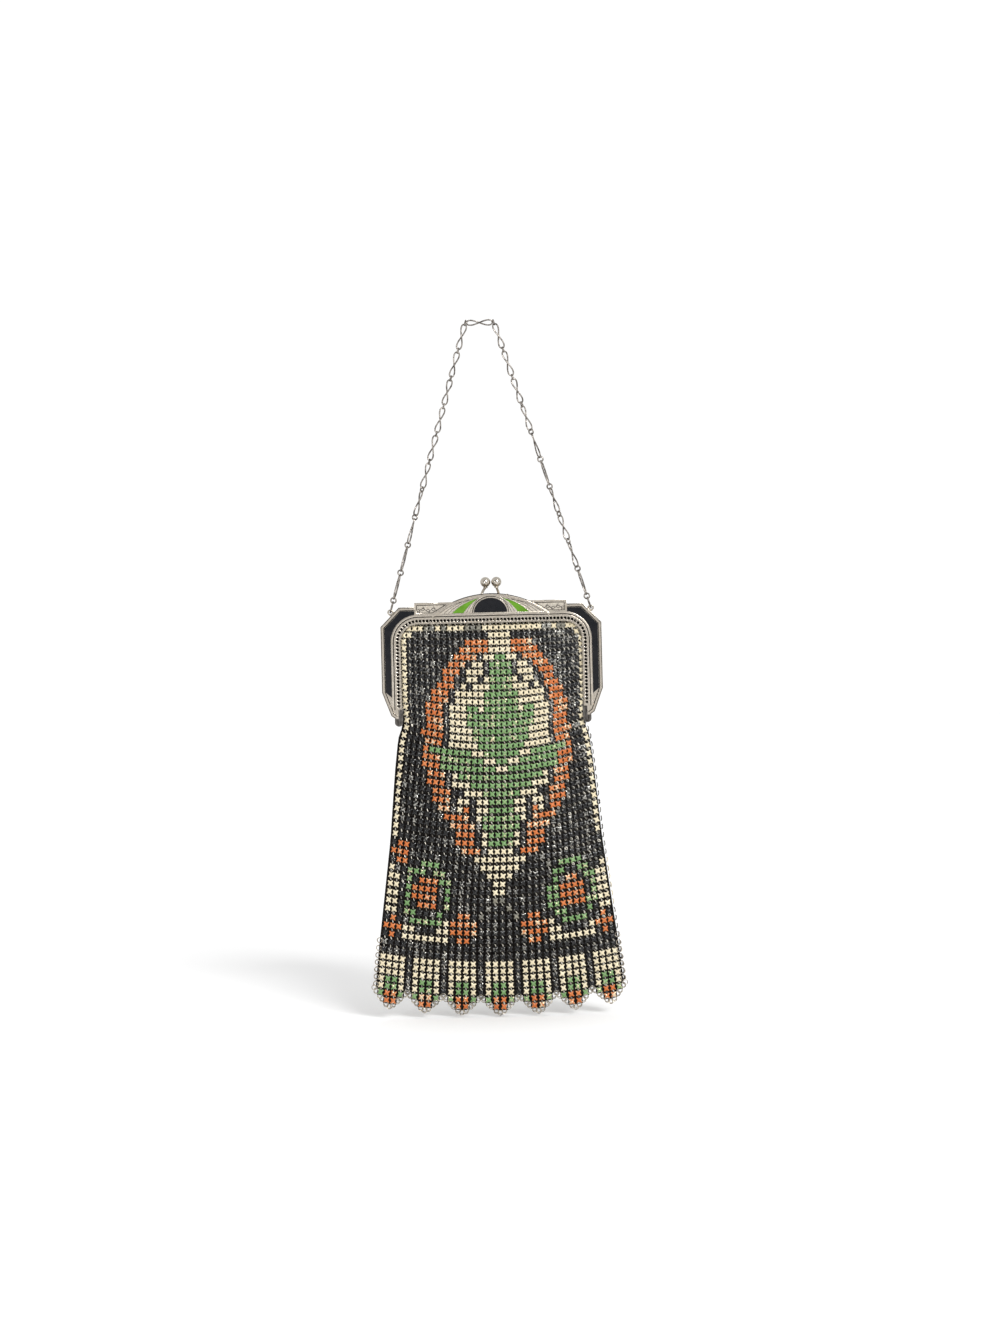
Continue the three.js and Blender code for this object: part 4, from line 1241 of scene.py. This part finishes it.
def chain_leg(side):
    turns = LEG_TURNS[side]
    low = SHOULDERS + (side * LUG_X, LUG_Y, LUG_H)
    top = np.array([side * LINK_REACH, 0, 0])
    length = np.linalg.norm(top - low)
    along = (top - low) / length
    pitch = (length - END_REACH) / len(turns)
    yield placed(wire_ring(END_RING), low + along * END_RING * 0.95, about(along, 90))
    for i, turn in enumerate(turns):
        yield placed(figure_eight(), low + along * (END_REACH + (i + 0.5) * pitch), about(along, turn))
        between = (turn + turns[max(i - 1, 0)]) / 2 + 90
        yield placed(wire_ring(SMALL_RING), low + along * (END_REACH + i * pitch), about(along, between))
    yield placed(wire_ring(SMALL_RING), top, about(along, 90))


chain = Batch()
chain.add(placed(figure_eight(), np.zeros(3), about(np.array([1.0, 0, 0]), 0)))
for side in (-1, 1):
    for part in chain_leg(side):
        chain.add(part)
add_piece(chain.mesh([chain_steel]), "wire_chain", "dark_silver", "chain", crisp=80)

# %% [markdown]
# ## Stage, light and camera
# The purse hangs just above a pale floor, in front of nothing but light. A large soft light from
# the front right throws a faint shadow to the left, and a few small ones make the plates sparkle.

# %% Floor
FLOOR_GAP, FLOOR_REACH = 1.5, 6000.0
floor_z = cad_low.z / MM - FLOOR_GAP
paper, paper_tree, paper_shader = new_finish("pale_paper")
paper_mask = use(paper_tree, TARNISH, Scale=3.0, Low=0.3, High=0.7)
paper_tree.links.new(
    blend_colour(paper_tree, paper_mask, (0.90, 0.90, 0.90), (0.88, 0.88, 0.88)), paper_shader["Base Color"])
paper_shader["Roughness"].default_value = 0.9
floor_points = [(x, y, floor_z) for x, y in (
    (-FLOOR_REACH, -FLOOR_REACH), (FLOOR_REACH, -FLOOR_REACH), (FLOOR_REACH, FLOOR_REACH),
    (-FLOOR_REACH, FLOOR_REACH))]
floor = bpy.data.objects.new("floor", mesh_of(floor_points, [(0, 1, 2, 3)], [paper]))
bpy.context.scene.collection.objects.link(floor)

# %% [markdown]
# The world is white behind and above, like a paper sweep, and dimmer in front, so that the metal has
# something dark to mirror. Seen directly it is white all round, so every view has a plain backdrop.

# %% World
WORLD_FRONT, WORLD_BACK, WORLD_TOP, BACKDROP = 0.22, 1.03, 0.9, 1.03
world = bpy.data.worlds.new("studio")
bpy.context.scene.world = world
world.use_nodes = True
sky = world.node_tree
direction = add_node(sky, "ShaderNodeTexCoord").outputs["Generated"]
parts = add_node(sky, "ShaderNodeSeparateXYZ", {"Vector": direction})
behind = ramp(sky, parts.outputs["Y"], -0.85, -0.35)
above = ramp(sky, parts.outputs["Z"], 0.35, 0.9)
level = blend_value(sky, above, blend_value(sky, behind, WORLD_FRONT, WORLD_BACK), WORLD_TOP)
seen = add_node(sky, "ShaderNodeLightPath").outputs["Is Camera Ray"]
sky.links.new(blend_value(sky, seen, level, BACKDROP), sky.nodes["Background"].inputs["Strength"])
sky.nodes["Background"].inputs["Color"].default_value = (1.0, 1.0, 1.0, 1.0)

# %% [markdown]
# A broad sun from the front right is the main light. Its low height is what draws the long faint
# shadow to the back left. Two small lights add glints to plates and wire.

# %% Lights
PURSE_MIDDLE = (0, 0, -200)


def add_light(kind, name, place, power, target=PURSE_MIDDLE, **settings):
    data = bpy.data.lights.new(name, kind)
    data.energy = power
    for setting, value in settings.items():
        setattr(data, setting, value)
    light = bpy.data.objects.new(name, data)
    light.location = Vector(place) * MM
    aim = Vector(target) * MM - light.location
    light.rotation_euler = aim.to_track_quat("-Z", "Y").to_euler()
    bpy.context.scene.collection.objects.link(light)


add_light("SUN", "key", (340, -800, 240), 2.3, angle=math.radians(20))
add_light("AREA", "glint_right", (420, -700, 120), 1.0, size=0.05)
add_light("AREA", "glint_left", (-380, -760, -60), 0.8, size=0.05)

# %% [markdown]
# The photograph is taken square on from about the purse's own height. It leans by a degree and a
# half, which is the camera's roll here, because the model itself hangs upright.

# %% Camera
PHOTO_SCALE = 0.457
PHOTO_SIZE = (1000, 1333)
ORIGIN_PIXEL = (479.4, 322.6)
ROLL = math.radians(1.4)
DISTANCE = 1300.0

middle_right = PHOTO_SIZE[0] / 2 - ORIGIN_PIXEL[0]
middle_down = PHOTO_SIZE[1] / 2 - ORIGIN_PIXEL[1]
aim_x = (middle_right * math.cos(ROLL) - middle_down * math.sin(ROLL)) * PHOTO_SCALE
aim_z = -(middle_right * math.sin(ROLL) + middle_down * math.cos(ROLL)) * PHOTO_SCALE
camera = bpy.data.objects.new("camera", bpy.data.cameras.new("camera"))
camera.data.sensor_width = 36.0
camera.data.lens = camera.data.sensor_width * DISTANCE / (PHOTO_SIZE[1] * PHOTO_SCALE)
look = Matrix.Rotation(math.radians(90), 4, "X") @ Matrix.Rotation(-ROLL, 4, "Z")
camera.matrix_world = Matrix.Translation(Vector((aim_x, -DISTANCE, aim_z)) * MM) @ look
camera.data.clip_end = 50.0
bpy.context.scene.collection.objects.link(camera)
bpy.context.scene.camera = camera
bpy.context.scene.view_settings.view_transform = "Standard"
print("camera looks at", round(aim_x, 1), round(aim_z, 1), "lens", round(camera.data.lens, 1))
